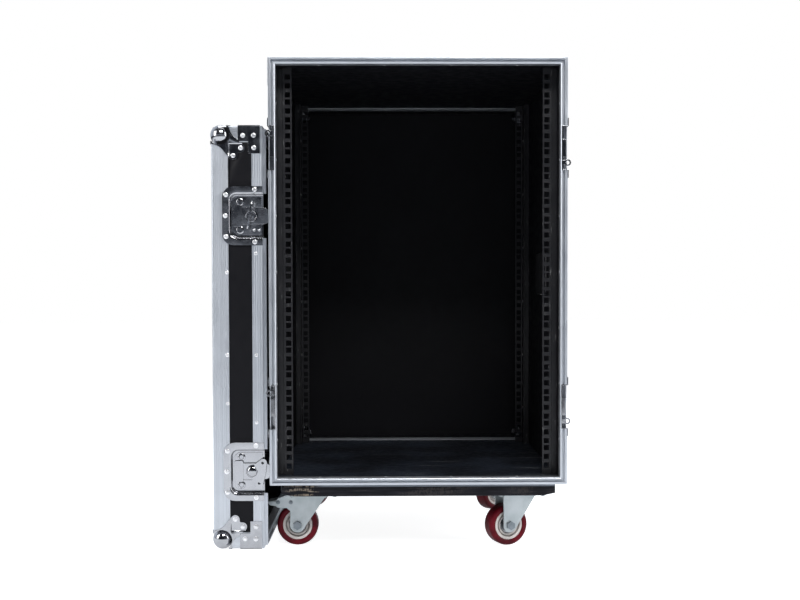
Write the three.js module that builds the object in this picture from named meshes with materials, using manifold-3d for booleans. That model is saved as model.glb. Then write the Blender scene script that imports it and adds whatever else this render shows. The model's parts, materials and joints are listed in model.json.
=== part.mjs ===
// A sixteen-unit rack flight case on four swivel casters, with its front lid standing beside it.
// Millimetres, +Z up, the open front faces -Y, and the origin is on the floor under the middle of it all.
import * as THREE from 'three';
import { mergeVertices } from 'three/addons/utils/BufferGeometryUtils.js';
import Module from 'manifold-3d';

const wasm = await Module();
wasm.setup();

// Driving dimensions.
const GAP = 0.3; // between pieces that touch
const CASE_WIDTH = 526;
const CASE_HEIGHT = 753;
const SLEEVE_DEPTH = 560;
const LID_DEPTH = 91; // outer face to rim plane
const PLY = 9;
const PLY_INSET = 2; // plywood face behind the aluminium's outer face
const TRIM = 1.7; // wall of the aluminium extrusions
const EDGE_LEG = 30; // leg of the edge angles
const RIM_WIDTH = 13;
const RIM_FLANGE = 25;
const LID_RIM_FLANGE = 19.5;
const RIM_NOSE = 9;
const TONGUE = 6;
const BALL_RADIUS = 18;
const BALL_PROUD = 3;
const RACK_UNIT = 44.45;
const RACK_UNITS = 16;
const RACK_OPENING = 450;
const RACK_BEND = 482.6;
const RACK_HOLE_CENTRES = 465.1;
const RACK_HOLE = 9.5;
const RAIL_RECESS = 50;
const RAIL_SIDE_LEG = 32;
const RAIL_WALL = 2;
const CASTER_HEIGHT = 99;
const BOARD = 21;
const BOARD_WIDTH = 486;
const WHEEL_RADIUS = 37.5;
const WHEEL_WIDTH = 30;
const TRAIL = 30;
const SWIVEL_SIDE = 189; // swivel axis from the case's middle
const SWIVEL_FRONT = 80; // front swivel axes from the sleeve's front
const SWIVEL_REAR = 115; // rear swivel axes from the sleeve's rear end
const KEEPER_FROM_TOP = 159;
const KEEPER_FROM_BOTTOM = 138;
const LATCH_HEIGHT = 105;
const LATCH_OPENING = 76;
const POCKET_DEPTH = 10.6; // behind the outer face, outside of the pocket
const SHEET = 1.2; // pressed steel of latches, keepers and handle dishes
const LID_GAP = 6.5; // lid tongue to the case's flank
const LID_SETBACK = 27; // lid's near side behind the front plane

// Places worked out from them.
const BODY_BOTTOM = CASTER_HEIGHT + BOARD;
const BODY_TOP = BODY_BOTTOM + CASE_HEIGHT;
const BODY_MIDDLE = (BODY_BOTTOM + BODY_TOP) / 2;
const EYE_REACH = 6;
const LEFT_REACH = CASE_WIDTH / 2 + LID_GAP + TONGUE + LID_DEPTH + BALL_PROUD;
const RIGHT_REACH = CASE_WIDTH / 2 + EYE_REACH;
const CASE_X = (LEFT_REACH - RIGHT_REACH) / 2;
const TOTAL_DEPTH = SLEEVE_DEPTH + GAP + LID_DEPTH + BALL_PROUD;
const FRONT_Y = -TOTAL_DEPTH / 2;
const SLEEVE_REAR_Y = FRONT_Y + SLEEVE_DEPTH;
const PLY_OUTER = CASE_WIDTH / 2 - PLY_INSET;
const PLY_INNER = PLY_OUTER - PLY;
const INNER_HEIGHT = CASE_HEIGHT - 2 * (PLY_INSET + PLY);
const LID_RIM_X = CASE_X - CASE_WIDTH / 2 - LID_GAP - TONGUE;
const LID_MIDDLE_Y = FRONT_Y + LID_SETBACK + CASE_WIDTH / 2;
const LID_MIDDLE_Z = BALL_PROUD + CASE_HEIGHT / 2;

const FINISHES = {
  aluminium: { color: 0xb7bec6, roughness: 0.35, metalness: 1 },
  laminate: { color: 0x1c2024, roughness: 0.6, metalness: 0 },
  blackSteel: { color: 0x141517, roughness: 0.5, metalness: 0.6 },
  chrome: { color: 0xc9cbd0, roughness: 0.15, metalness: 1 },
  zinc: { color: 0xaab3b6, roughness: 0.4, metalness: 1 },
  rubber: { color: 0x111111, roughness: 0.8, metalness: 0 },
  paintedWood: { color: 0x17181a, roughness: 0.7, metalness: 0 },
  tread: { color: 0x6d1219, roughness: 0.35, metalness: 0 },
};

const X = new THREE.Vector3(1, 0, 0);
const Y = new THREE.Vector3(0, 1, 0);
const Z = new THREE.Vector3(0, 0, 1);
const back = (v) => v.clone().negate();

const part = new THREE.Group();

// --- helpers ---

function addMesh(parent, name, geometry, finish) {
  const mesh = new THREE.Mesh(geometry, new THREE.MeshStandardMaterial(FINISHES[finish]));
  mesh.name = name;
  parent.add(mesh);
  return mesh;
}

// A group at a place, with its own x, y and z axes turned to the three given directions.
function frameAt(x, y, z, ...axes) {
  const group = new THREE.Group();
  group.position.set(x, y, z);
  group.quaternion.setFromRotationMatrix(new THREE.Matrix4().makeBasis(...axes));
  part.add(group);
  return group;
}

function solidOf(geometry) {
  const bare = geometry.clone();
  bare.deleteAttribute('normal');
  bare.deleteAttribute('uv');
  const merged = mergeVertices(bare, 1e-4);
  return new wasm.Manifold(
    new wasm.Mesh({
      numProp: 3,
      vertProperties: new Float32Array(merged.attributes.position.array),
      triVerts: new Uint32Array(merged.index.array),
    }),
  );
}

function geometryOf(solid) {
  const mesh = solid.getMesh();
  const geometry = new THREE.BufferGeometry();
  geometry.setAttribute('position', new THREE.BufferAttribute(mesh.vertProperties, 3));
  geometry.setIndex(new THREE.BufferAttribute(mesh.triVerts, 1));
  geometry.computeVertexNormals();
  return geometry;
}

function block(x0, x1, y0, y1, z0, z1) {
  const geometry = new THREE.BoxGeometry(x1 - x0, y1 - y0, z1 - z0);
  return geometry.translate((x0 + x1) / 2, (y0 + y1) / 2, (z0 + z1) / 2);
}

const blockSolid = (...sides) => solidOf(block(...sides));

// A cylinder along z, from z0 to z1.
function rod(radius, x, y, z0, z1, sides = 24) {
  const geometry = new THREE.CylinderGeometry(radius, radius, z1 - z0, sides);
  return geometry.rotateX(Math.PI / 2).translate(x, y, (z0 + z1) / 2);
}

// A flat outline in x and y, given a thickness from z0 to z1.
function slab(shape, z0, z1, curveSegments = 8) {
  const geometry = new THREE.ExtrudeGeometry(shape, { depth: z1 - z0, bevelEnabled: false, curveSegments });
  return geometry.translate(0, 0, z0);
}

function outline(points) {
  return new THREE.Shape(points.map(([x, y]) => new THREE.Vector2(x, y)));
}

// An outline of [inset, height] points swept round a rectangle with mitred corners.
// Its points run inwards over the top, so that the faces point out.
function mitredRing(points, width, height) {
  const corners = [[-1, -1], [1, -1], [1, 1], [-1, 1]];
  const count = points.length;
  const vertices = [];
  const triangles = [];
  corners.forEach(([sideX, sideY], corner) => {
    points.forEach(([inset, z], i) => {
      vertices.push(sideX * (width / 2 - inset), sideY * (height / 2 - inset), z);
      const here = corner * count;
      const next = ((corner + 1) % 4) * count;
      const j = (i + 1) % count;
      triangles.push(here + i, next + i, here + j, here + j, next + i, next + j);
    });
  });
  const geometry = new THREE.BufferGeometry();
  geometry.setAttribute('position', new THREE.BufferAttribute(new Float32Array(vertices), 3));
  geometry.setIndex(triangles);
  return geometry;
}

// --- the plywood sleeve ---

function addSleevePanels() {
  const y0 = FRONT_Y + RIM_NOSE + GAP;
  const y1 = SLEEVE_REAR_Y - RIM_NOSE - GAP;
  const z0 = BODY_BOTTOM + PLY_INSET;
  const z1 = BODY_TOP - PLY_INSET;
  const half = PLY_INNER - GAP;
  for (const [name, side] of [['left', -1], ['right', 1]]) {
    const xs = [CASE_X + side * PLY_INNER, CASE_X + side * PLY_OUTER].sort((a, b) => a - b);
    let panel = blockSolid(...xs, y0, y1, z0, z1);
    for (const z of keeperHeights()) {
      const reach = LATCH_OPENING / 2 + SHEET + GAP;
      panel = panel.subtract(blockSolid(xs[0] - 1, xs[1] + 1, y0 - 1, FRONT_Y + 34, z - reach, z + reach));
    }
    const dish = [HANDLE_OPENING[0] / 2 + SHEET + GAP, HANDLE_OPENING[1] / 2 + SHEET + GAP];
    const mid = FRONT_Y + SLEEVE_DEPTH / 2;
    const hole = [mid - dish[0], mid + dish[0], BODY_MIDDLE - dish[1], BODY_MIDDLE + dish[1]];
    panel = panel.subtract(blockSolid(xs[0] - 1, xs[1] + 1, ...hole));
    addMesh(part, `${name}_side_panel`, geometryOf(panel), 'laminate');
  }
  addMesh(part, 'top_panel', block(CASE_X - half, CASE_X + half, y0, y1, z1 - PLY, z1), 'laminate');
  addMesh(part, 'bottom_panel', block(CASE_X - half, CASE_X + half, y0, y1, z0, z0 + PLY), 'laminate');
}

function keeperHeights() {
  return [BODY_TOP - KEEPER_FROM_TOP, BODY_BOTTOM + KEEPER_FROM_BOTTOM];
}

// Aluminium angles along the sleeve's four long edges, between the two rims.
function addEdgeAngles() {
  const y0 = FRONT_Y + RIM_FLANGE + GAP;
  const length = SLEEVE_DEPTH - 2 * (RIM_FLANGE + GAP);
  for (const [high, sideZ, z] of [['top', -1, BODY_TOP], ['bottom', 1, BODY_BOTTOM]]) {
    for (const [wide, side] of [['left', -1], ['right', 1]]) {
      const angle = outline([[0, 0], [EDGE_LEG, 0], [EDGE_LEG, TRIM], [TRIM, TRIM], [TRIM, EDGE_LEG], [0, EDGE_LEG]]);
      const geometry = slab(angle, 0, length);
      const turned = side * sideZ < 0;
      const inwards = side < 0 ? X : back(X);
      const upright = sideZ > 0 ? Z : back(Z);
      // The angle's legs run inwards and along z; a quarter turn keeps the frame right-handed.
      const axes = turned ? [inwards, upright, Y] : [upright, inwards, Y];
      const corner = frameAt(CASE_X + side * (CASE_WIDTH / 2), y0, z, ...rightHanded(axes));
      if (!isRightHanded(axes)) geometry.translate(0, 0, -length);
      addMesh(corner, `${high}_${wide}_edge_angle`, geometry, 'aluminium');
    }
  }
}

function isRightHanded([x, y, z]) {
  return x.clone().cross(y).dot(z) > 0;
}

function rightHanded([x, y, z]) {
  return isRightHanded([x, y, z]) ? [x, y, z] : [x, y, back(z)];
}

// The grooved extrusion round an opening: a nose, an outer flange and an inner lip that hold the plywood.
function femaleRim() {
  const [grooveStart, grooveEnd, grooveFloor] = [4.6, 8.4, 2 - RIM_NOSE];
  const lipEnd = -17;
  const plane = [
    [0, 0], [grooveStart, 0], [grooveStart, grooveFloor], [grooveEnd, grooveFloor], [grooveEnd, 0], [RIM_WIDTH, 0],
  ];
  const lip = [[RIM_WIDTH, lipEnd], [RIM_WIDTH - TRIM, lipEnd], [RIM_WIDTH - TRIM, -RIM_NOSE]];
  const flange = [[TRIM, -RIM_NOSE], [TRIM, -RIM_FLANGE], [0, -RIM_FLANGE]];
  return solidOf(mitredRing([...plane, ...lip, ...flange], CASE_WIDTH, CASE_HEIGHT));
}

// The rim is cut back to its inner lip where the keepers or latches sit.
function notchedForLatches(rim, heights, sides) {
  const reach = LATCH_OPENING / 2 + SHEET + GAP;
  const kept = CASE_WIDTH / 2 - POCKET_DEPTH - GAP;
  let cut = rim;
  for (const side of sides) {
    const xs = [side * kept, side * (CASE_WIDTH / 2 + 1)].sort((a, b) => a - b);
    for (const y of heights) cut = cut.subtract(blockSolid(...xs, y - reach, y + reach, -40, 20));
  }
  return cut;
}

function addRims() {
  const front = frameAt(CASE_X, FRONT_Y, BODY_MIDDLE, X, Z, back(Y));
  const notched = notchedForLatches(femaleRim(), keeperHeights().map((z) => z - BODY_MIDDLE), [-1, 1]);
  addMesh(front, 'front_rim', geometryOf(notched), 'aluminium');
  const rear = frameAt(CASE_X, SLEEVE_REAR_Y, BODY_MIDDLE, back(X), Z, Y);
  addMesh(rear, 'rear_rim', geometryOf(femaleRim()), 'aluminium');
}

// --- rack rails ---

// Square holes at the rack standard's pitch: 15.875, 15.875 and 12.7 in each unit.
function rackHoleHeights() {
  const first = -(RACK_UNIT * RACK_UNITS) / 2;
  const heights = [];
  for (let unit = 0; unit < RACK_UNITS; unit++) {
    for (const step of [6.35, 22.225, 38.1]) heights.push(first + unit * RACK_UNIT + step);
  }
  return heights;
}

function rackRail() {
  const half = INNER_HEIGHT / 2 - GAP;
  const inner = 0;
  const outer = (RACK_BEND - RACK_OPENING) / 2;
  const middle = (RACK_HOLE_CENTRES - RACK_OPENING) / 2;
  const face = outline([[inner, -half], [outer, -half], [outer, half], [inner, half]]);
  for (const y of rackHoleHeights()) {
    const [x0, x1, y0, y1] = [middle - RACK_HOLE / 2, middle + RACK_HOLE / 2, y - RACK_HOLE / 2, y + RACK_HOLE / 2];
    face.holes.push(new THREE.Path([[x0, y0], [x0, y1], [x1, y1], [x1, y0]].map((p) => new THREE.Vector2(...p))));
  }
  const leg = blockSolid(outer - RAIL_WALL, outer, -half, half, -RAIL_SIDE_LEG, 0);
  return geometryOf(solidOf(slab(face, -RAIL_WALL, 0)).add(leg));
}

function addRackRails() {
  const ends = [['front', FRONT_Y + RAIL_RECESS, -1], ['rear', SLEEVE_REAR_Y - RAIL_RECESS, 1]];
  for (const [end, y, facing] of ends) {
    for (const [wide, side] of [['left', -1], ['right', 1]]) {
      const across = side > 0 ? X : back(X);
      const outwards = facing > 0 ? Y : back(Y);
      const upright = outwards.clone().cross(across);
      const rail = frameAt(CASE_X + (side * RACK_OPENING) / 2, y, BODY_MIDDLE, across, upright, outwards);
      addMesh(rail, `${end}_${wide}_rack_rail`, rackRail(), 'blackSteel');
    }
  }
}

// --- pressed steel hardware; x runs back from the front edge, y along it, z out of the face ---

function keeper() {
  const half = LATCH_OPENING / 2;
  const depth = 43;
  const pocketEnd = 32;
  const floor = -POCKET_DEPTH;
  const flange = blockSolid(0, depth, -LATCH_HEIGHT / 2, LATCH_HEIGHT / 2, GAP, GAP + SHEET);
  const outside = blockSolid(0, pocketEnd, -half - SHEET, half + SHEET, floor, GAP + SHEET);
  const inside = blockSolid(-1, pocketEnd - SHEET, -half, half, floor + SHEET, GAP + SHEET + 1);
  const catchBar = blockSolid(3, 9, -15.5, 15.5, floor + SHEET / 2, -2.8);
  const eyeAt = -25.6;
  const turn = new THREE.Matrix4().makeRotationY(Math.PI / 2);
  const eyeOf = (radius, x0, x1) => solidOf(rod(radius, 0, eyeAt, x0, x1, 20).applyMatrix4(turn));
  const stem = blockSolid(2, 4, eyeAt - 4, eyeAt + 4, floor + SHEET / 2, 0);
  const eye = eyeOf(EYE_REACH, 2, 4).add(stem).subtract(eyeOf(3.2, 1, 5));
  return geometryOf(flange.add(outside).subtract(inside).add(catchBar).add(eye));
}

function addKeepers() {
  const names = ['upper', 'lower'];
  for (const [wide, side] of [['left', -1], ['right', 1]]) {
    keeperHeights().forEach((z, i) => {
      const outwards = side > 0 ? X : back(X);
      const along = outwards.clone().cross(Y);
      const place = frameAt(CASE_X + (side * CASE_WIDTH) / 2, FRONT_Y, z, Y, along, outwards);
      addMesh(place, `${wide}_${names[i]}_keeper`, keeper(), 'chrome');
    });
  }
}

const HANDLE_FLANGE = [178, 108];
const HANDLE_OPENING = [150, 82];
const HANDLE_FLOOR = -13.5;
const HANDLE_PIVOT = [28, -6]; // up from the middle, and out of the face

function handleDish() {
  const [w, h] = HANDLE_FLANGE.map((v) => v / 2);
  const [ow, oh] = HANDLE_OPENING.map((v) => v / 2);
  const flange = blockSolid(-w, w, -h, h, GAP, GAP + SHEET);
  const outside = blockSolid(-ow - SHEET, ow + SHEET, -oh - SHEET, oh + SHEET, HANDLE_FLOOR, GAP + SHEET);
  const inside = blockSolid(-ow, ow, -oh, oh, HANDLE_FLOOR + SHEET, GAP + SHEET + 1);
  return geometryOf(flange.add(outside).subtract(inside));
}

// A rubber-covered bar on two arms, hung from a pivot bar along the dish's top.
function carryHandle() {
  const along = (radius, y, reach) =>
    solidOf(rod(radius, 0, 0, -reach, reach, 16).rotateY(Math.PI / 2).translate(0, y, HANDLE_PIVOT[1]));
  const drop = HANDLE_PIVOT[0] - 46;
  const arms = [-1, 1].map((side) =>
    blockSolid(side * 56 - 4, side * 56 + 4, drop, HANDLE_PIVOT[0], HANDLE_PIVOT[1] - 2.5, HANDLE_PIVOT[1] + 2.5));
  const handle = along(6, drop, 60).add(along(4, HANDLE_PIVOT[0], 70)).add(arms[0]).add(arms[1]);
  return geometryOf(handle);
}

function addCarryHandles() {
  for (const [wide, side] of [['left', -1], ['right', 1]]) {
    const outwards = side > 0 ? X : back(X);
    const across = Z.clone().cross(outwards);
    const y = FRONT_Y + SLEEVE_DEPTH / 2;
    const place = frameAt(CASE_X + (side * CASE_WIDTH) / 2, y, BODY_MIDDLE, across, Z, outwards);
    addMesh(place, `${wide}_handle_dish`, handleDish(), 'chrome');
    addMesh(place, `${wide}_carry_handle`, carryHandle(), 'rubber');
  }
}

// --- the board and casters ---

function addCasterBoard() {
  const half = BOARD_WIDTH / 2;
  const [chamferWidth, chamferHeight] = [22, 4.5];
  const z1 = BODY_BOTTOM - GAP;
  const section = outline([
    [-half, CASTER_HEIGHT + chamferHeight], [chamferWidth - half, CASTER_HEIGHT],
    [half - chamferWidth, CASTER_HEIGHT], [half, CASTER_HEIGHT + chamferHeight], [half, z1], [-half, z1],
  ]);
  const inset = 8;
  const place = frameAt(CASE_X, SLEEVE_REAR_Y - inset, 0, X, Z, back(Y));
  addMesh(place, 'caster_board', slab(section, 0, SLEEVE_DEPTH - 2 * inset), 'paintedWood');
}

// Each caster's own frame has its swivel axis on z, and x pointing the way the wheel trails.
const CROWN_TOP = 92.5;
const CROWN_BOTTOM = 88;
const CROWN_FRONT = 23; // crown's edge ahead of the swivel axis
const FORK_INSIDE = 17;
const FORK_WALL = 2.5;
const AXLE_RADIUS = 4;
const PEDAL_PIVOT = [62, 79];

function casterPlate() {
  const plate = blockSolid(-47, 47, -33, 33, 96.2, CASTER_HEIGHT - GAP);
  return geometryOf(plate.add(solidOf(rod(12, 0, 0, CROWN_TOP + GAP, 97, 24))));
}

function legOutline(braked) {
  const shape = new THREE.Shape();
  const eye = 13;
  const [run, drop] = [TRAIL + CROWN_FRONT, CROWN_TOP - WHEEL_RADIUS];
  const slope = Math.atan2(drop, run) + Math.asin(eye / Math.hypot(drop, run));
  shape.moveTo(braked ? 50 : TRAIL + eye, CROWN_TOP);
  shape.lineTo(-CROWN_FRONT, CROWN_TOP);
  shape.absarc(TRAIL, WHEEL_RADIUS, eye, -Math.PI / 2 - slope, 0, false);
  if (braked) {
    shape.lineTo(TRAIL + eye, 64);
    shape.lineTo(TRAIL + eye + 6, 69);
    shape.lineTo(67, 70);
    shape.lineTo(71, 79);
    shape.lineTo(65, 87);
  }
  return shape;
}

// Pressed fork: two legs, the crown between them and the axle bolt through both.
function casterFork(braked) {
  const outer = FORK_INSIDE + FORK_WALL;
  const upright = new THREE.Matrix4().makeRotationX(Math.PI / 2);
  let fork = blockSolid(-CROWN_FRONT, TRAIL + 13, -outer, outer, CROWN_BOTTOM, CROWN_TOP);
  for (const y of [FORK_INSIDE, -outer]) {
    const leg = slab(legOutline(braked), -y - FORK_WALL, -y, 10).applyMatrix4(upright);
    fork = fork.add(solidOf(leg));
  }
  const alongAxle = (radius, reach, x, z, sides) =>
    solidOf(rod(radius, x, z, -reach, reach, sides).applyMatrix4(upright));
  fork = fork.add(alongAxle(AXLE_RADIUS, outer + 4, TRAIL, WHEEL_RADIUS, 16));
  fork = fork.add(alongAxle(6.5, outer + 4, TRAIL, WHEEL_RADIUS, 6)
    .subtract(alongAxle(8, outer - 1, TRAIL, WHEEL_RADIUS, 6)));
  if (braked) fork = fork.add(alongAxle(2.5, outer, ...PEDAL_PIVOT, 12));
  return geometryOf(fork);
}

// Polyurethane tread on a moulded hub, turned about z and then laid over.
function casterWheel() {
  const half = WHEEL_WIDTH / 2;
  const bore = AXLE_RADIUS + 0.6;
  const lower = [[bore, -half - 1], [10, -half - 1], [11, 5 - half], [24, 5 - half], [26, -half], [33, -half]];
  const shoulder = [WHEEL_RADIUS, 6 - half];
  const upper = [shoulder, ...lower.toReversed()].map(([r, y]) => [r, -y]);
  const profile = [...lower, shoulder, ...upper, lower[0]];
  const wheel = new THREE.LatheGeometry(profile.map((p) => new THREE.Vector2(...p)), 28);
  return geometryOf(solidOf(wheel));
}

function brakePedal() {
  const tread = outline([[50, 76], [56, 72.5], [70, 72], [80, 73.5], [84, 77.5], [83, 80.5], [68, 83], [54, 82]]);
  const upright = new THREE.Matrix4().makeRotationX(Math.PI / 2);
  const half = FORK_INSIDE - 1;
  const body = solidOf(slab(tread, -half, half).applyMatrix4(upright));
  const pin = solidOf(rod(3.1, ...PEDAL_PIVOT, -half - 1, half + 1, 12).applyMatrix4(upright));
  return geometryOf(body.subtract(pin));
}

function addCasters() {
  const ends = [['front', FRONT_Y + SWIVEL_FRONT], ['rear', SLEEVE_REAR_Y - SWIVEL_REAR]];
  const trailing = { front_left: 180, front_right: 200, rear_left: 165, rear_right: 222 };
  for (const [end, y] of ends) {
    for (const [wide, side] of [['left', -1], ['right', 1]]) {
      const name = `${end}_${wide}`;
      const braked = wide === 'left';
      const x = CASE_X + side * SWIVEL_SIDE;
      const plate = frameAt(x, y, 0, Y, back(X), Z);
      addMesh(plate, `${name}_caster_plate`, casterPlate(), 'zinc');
      const angle = THREE.MathUtils.degToRad(trailing[name]);
      const away = new THREE.Vector3(Math.cos(angle), Math.sin(angle), 0);
      const swivel = frameAt(x, y, 0, away, Z.clone().cross(away), Z);
      addMesh(swivel, `${name}_caster_fork`, casterFork(braked), 'zinc');
      const wheel = addMesh(swivel, `${name}_wheel`, casterWheel(), 'tread');
      wheel.position.set(TRAIL, 0, WHEEL_RADIUS);
      if (braked) addMesh(swivel, `${name}_brake_pedal`, brakePedal(), 'zinc');
    }
  }
}

// --- lids; x and y lie in the rim plane, and z points out of the open side ---

const PANEL_TOP = PLY_INSET + PLY - LID_DEPTH;

// The tongued extrusion that fits the sleeve's groove.
function maleRim() {
  const tongue = [[0, 0], [5, 0], [5.3, TONGUE], [7.7, TONGUE], [8, 0], [RIM_WIDTH, 0]];
  const lip = [[RIM_WIDTH, -14], [RIM_WIDTH - TRIM, -14], [RIM_WIDTH - TRIM, -4]];
  const flange = [[TRIM, -4], [TRIM, -LID_RIM_FLANGE], [0, -LID_RIM_FLANGE]];
  return solidOf(mitredRing([...tongue, ...lip, ...flange], CASE_WIDTH, CASE_HEIGHT));
}

// Walls from just behind the rim down to a given height.
function lidWalls(far) {
  const inner = PLY_INSET + PLY;
  const points = [[PLY_INSET, -4 - GAP], [inner, -4 - GAP], [inner, far], [PLY_INSET, far]];
  return solidOf(mitredRing(points, CASE_WIDTH, CASE_HEIGHT));
}

function lidPanel() {
  const halfHeight = CASE_HEIGHT / 2 - PLY_INSET;
  return solidOf(block(-PLY_OUTER, PLY_OUTER, -halfHeight, halfHeight, PANEL_TOP - PLY, PANEL_TOP));
}

// Edge angles round the outer face, with a pressed steel ball over each corner.
function lidFrame() {
  const out = -LID_DEPTH;
  const angle = [
    [0, out + EDGE_LEG], [TRIM, out + EDGE_LEG], [TRIM, out + TRIM], [EDGE_LEG, out + TRIM], [EDGE_LEG, out], [0, out],
  ];
  let frame = solidOf(mitredRing(angle, CASE_WIDTH, CASE_HEIGHT));
  const clear = TRIM;
  const [halfWidth, halfHeight] = [CASE_WIDTH / 2 - clear, CASE_HEIGHT / 2 - clear];
  const plywood = blockSolid(-halfWidth, halfWidth, -halfHeight, halfHeight, out + clear, 0);
  const inset = BALL_RADIUS - BALL_PROUD;
  for (const sideX of [-1, 1]) {
    for (const sideY of [-1, 1]) {
      const ball = new THREE.SphereGeometry(BALL_RADIUS, 16, 12);
      ball.translate(sideX * (CASE_WIDTH / 2 - inset), sideY * (CASE_HEIGHT / 2 - inset), out + inset);
      frame = frame.add(solidOf(ball).subtract(plywood));
    }
  }
  return frame;
}

const latchHeights = () => [CASE_HEIGHT / 2 - KEEPER_FROM_TOP, KEEPER_FROM_BOTTOM - CASE_HEIGHT / 2];

function addFrontLid() {
  const lid = frameAt(LID_RIM_X, LID_MIDDLE_Y, LID_MIDDLE_Z, Y, Z, X);
  const heights = latchHeights();
  const reach = LATCH_OPENING / 2 + SHEET + GAP;
  let walls = lidWalls(PANEL_TOP + GAP);
  for (const side of [-1, 1]) {
    const xs = [side * (PLY_INNER - 1), side * (PLY_OUTER + 1)].sort((a, b) => a - b);
    for (const y of heights) {
      walls = walls.subtract(blockSolid(...xs, y - reach, y + reach, -LATCH_POCKET - SHEET - GAP, 0));
    }
  }
  addMesh(lid, 'front_lid_panel', geometryOf(lidPanel()), 'laminate');
  addMesh(lid, 'front_lid_walls', geometryOf(walls), 'laminate');
  addMesh(lid, 'front_lid_frame', geometryOf(lidFrame()), 'aluminium');
  addMesh(lid, 'front_lid_rim', geometryOf(notchedForLatches(maleRim(), heights, [-1, 1])), 'aluminium');
}

function addRearLid() {
  const lid = frameAt(CASE_X, SLEEVE_REAR_Y + GAP, BODY_MIDDLE, X, Z, back(Y));
  const joined = lidWalls(PANEL_TOP - 1).add(lidPanel());
  addMesh(lid, 'rear_lid_shell', geometryOf(joined), 'laminate');
  addMesh(lid, 'rear_lid_frame', geometryOf(lidFrame()), 'aluminium');
  addMesh(lid, 'rear_lid_rim', geometryOf(maleRim()), 'aluminium');
}

// --- turn latches; x points out over the rim, y along it, z out of the face ---

const LATCH_WIDTH = 72;
const LATCH_POCKET = 58;
const ROTOR_AT = -21;
const HOOK_REACH = 12;
const HOOK_WIDTH = 29;
const HOOK_TRAVEL = 7;
const POST_RADIUS = 4;
const WING_TILT = THREE.MathUtils.degToRad(-10);
const WING_LIFT = -0.6; // fold axis from the lid's face

function latchDish() {
  const half = LATCH_HEIGHT / 2;
  const corner = 20;
  const shape = new THREE.Shape();
  shape.moveTo(0, -half);
  shape.lineTo(0, half);
  shape.absarc(corner - LATCH_WIDTH, half - corner, corner, Math.PI / 2, Math.PI, false);
  shape.absarc(corner - LATCH_WIDTH, corner - half, corner, Math.PI, 1.5 * Math.PI, false);
  const flange = solidOf(slab(shape, GAP, GAP + SHEET, 5));
  const open = LATCH_OPENING / 2;
  const outside = blockSolid(-LATCH_POCKET - SHEET, 0, -open - SHEET, open + SHEET, -POCKET_DEPTH, GAP + SHEET);
  const inside = blockSolid(-LATCH_POCKET, 1, -open, open, SHEET - POCKET_DEPTH, GAP + SHEET + 1);
  return geometryOf(flange.add(outside).subtract(inside));
}

// The knob's disc and the post that turns in the dish's floor.
function latchRotor() {
  const disc = solidOf(rod(11.5, ROTOR_AT, 0, -4.6, -2.2, 24));
  return geometryOf(disc.add(solidOf(rod(POST_RADIUS, ROTOR_AT, 0, SHEET - POCKET_DEPTH + GAP, -4, 16))));
}

// A strap with a round end, slotted to slide on the post.
function latchHook() {
  const half = HOOK_WIDTH / 2;
  const shape = new THREE.Shape();
  const round = 11;
  shape.moveTo(-46, half);
  shape.lineTo(-46, -half);
  shape.absarc(HOOK_REACH - round, round - half, round, -Math.PI / 2, 0, false);
  shape.absarc(HOOK_REACH - round, half - round, round, 0, Math.PI / 2, false);
  const slot = new THREE.Shape();
  const clear = POST_RADIUS + 0.6;
  slot.absarc(ROTOR_AT, 0, clear, Math.PI / 2, 1.5 * Math.PI, false);
  slot.absarc(ROTOR_AT + HOOK_TRAVEL, 0, clear, -Math.PI / 2, Math.PI / 2, false);
  return geometryOf(solidOf(slab(shape, -7.6, -5.2, 6)).subtract(solidOf(slab(slot, -9, -4, 6))));
}

// A flat key with a padlock hole at each end, folding about the knob's face.
function latchWing(standing) {
  const shape = new THREE.Shape();
  shape.moveTo(2, -14);
  shape.lineTo(10, -25);
  shape.absarc(16, -19, 7, -2.1, 0.2, false);
  shape.lineTo(24, 0);
  shape.absarc(16, 19, 7, -0.2, 2.1, false);
  shape.lineTo(2, 14);
  let wing = solidOf(slab(shape, -1, 1, 5));
  for (const y of [-18.5, 18.5]) wing = wing.subtract(solidOf(rod(2.4, 15.5, y, -2, 2, 12)));
  const geometry = geometryOf(wing);
  if (standing) geometry.rotateY(-Math.PI / 2);
  return geometry.rotateZ(WING_TILT).translate(ROTOR_AT, 0, WING_LIFT);
}

function addLatches() {
  const rows = [['upper', LID_MIDDLE_Z + latchHeights()[0], true], ['lower', LID_MIDDLE_Z + latchHeights()[1], false]];
  for (const [end, sideY] of [['near', -1], ['far', 1]]) {
    for (const [row, z, standing] of rows) {
      const outwards = sideY > 0 ? Y : back(Y);
      const along = outwards.clone().cross(X);
      const y = LID_MIDDLE_Y + (sideY * CASE_WIDTH) / 2;
      const place = frameAt(LID_RIM_X, y, z, X, along, outwards);
      const name = `${end}_${row}_latch`;
      addMesh(place, `${name}_dish`, latchDish(), 'chrome');
      addMesh(place, `${name}_rotor`, latchRotor(), 'chrome');
      addMesh(place, `${name}_hook`, latchHook(), 'chrome');
      addMesh(place, `${name}_wing`, latchWing(standing), 'chrome');
    }
  }
}

addSleevePanels();
addEdgeAngles();
addRims();
addRackRails();
addKeepers();
addCarryHandles();
addCasterBoard();
addCasters();
addFrontLid();
addLatches();
addRearLid();

export default part;
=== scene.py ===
import json
import math

import bmesh
import bpy
from mathutils import Matrix, Vector


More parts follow.
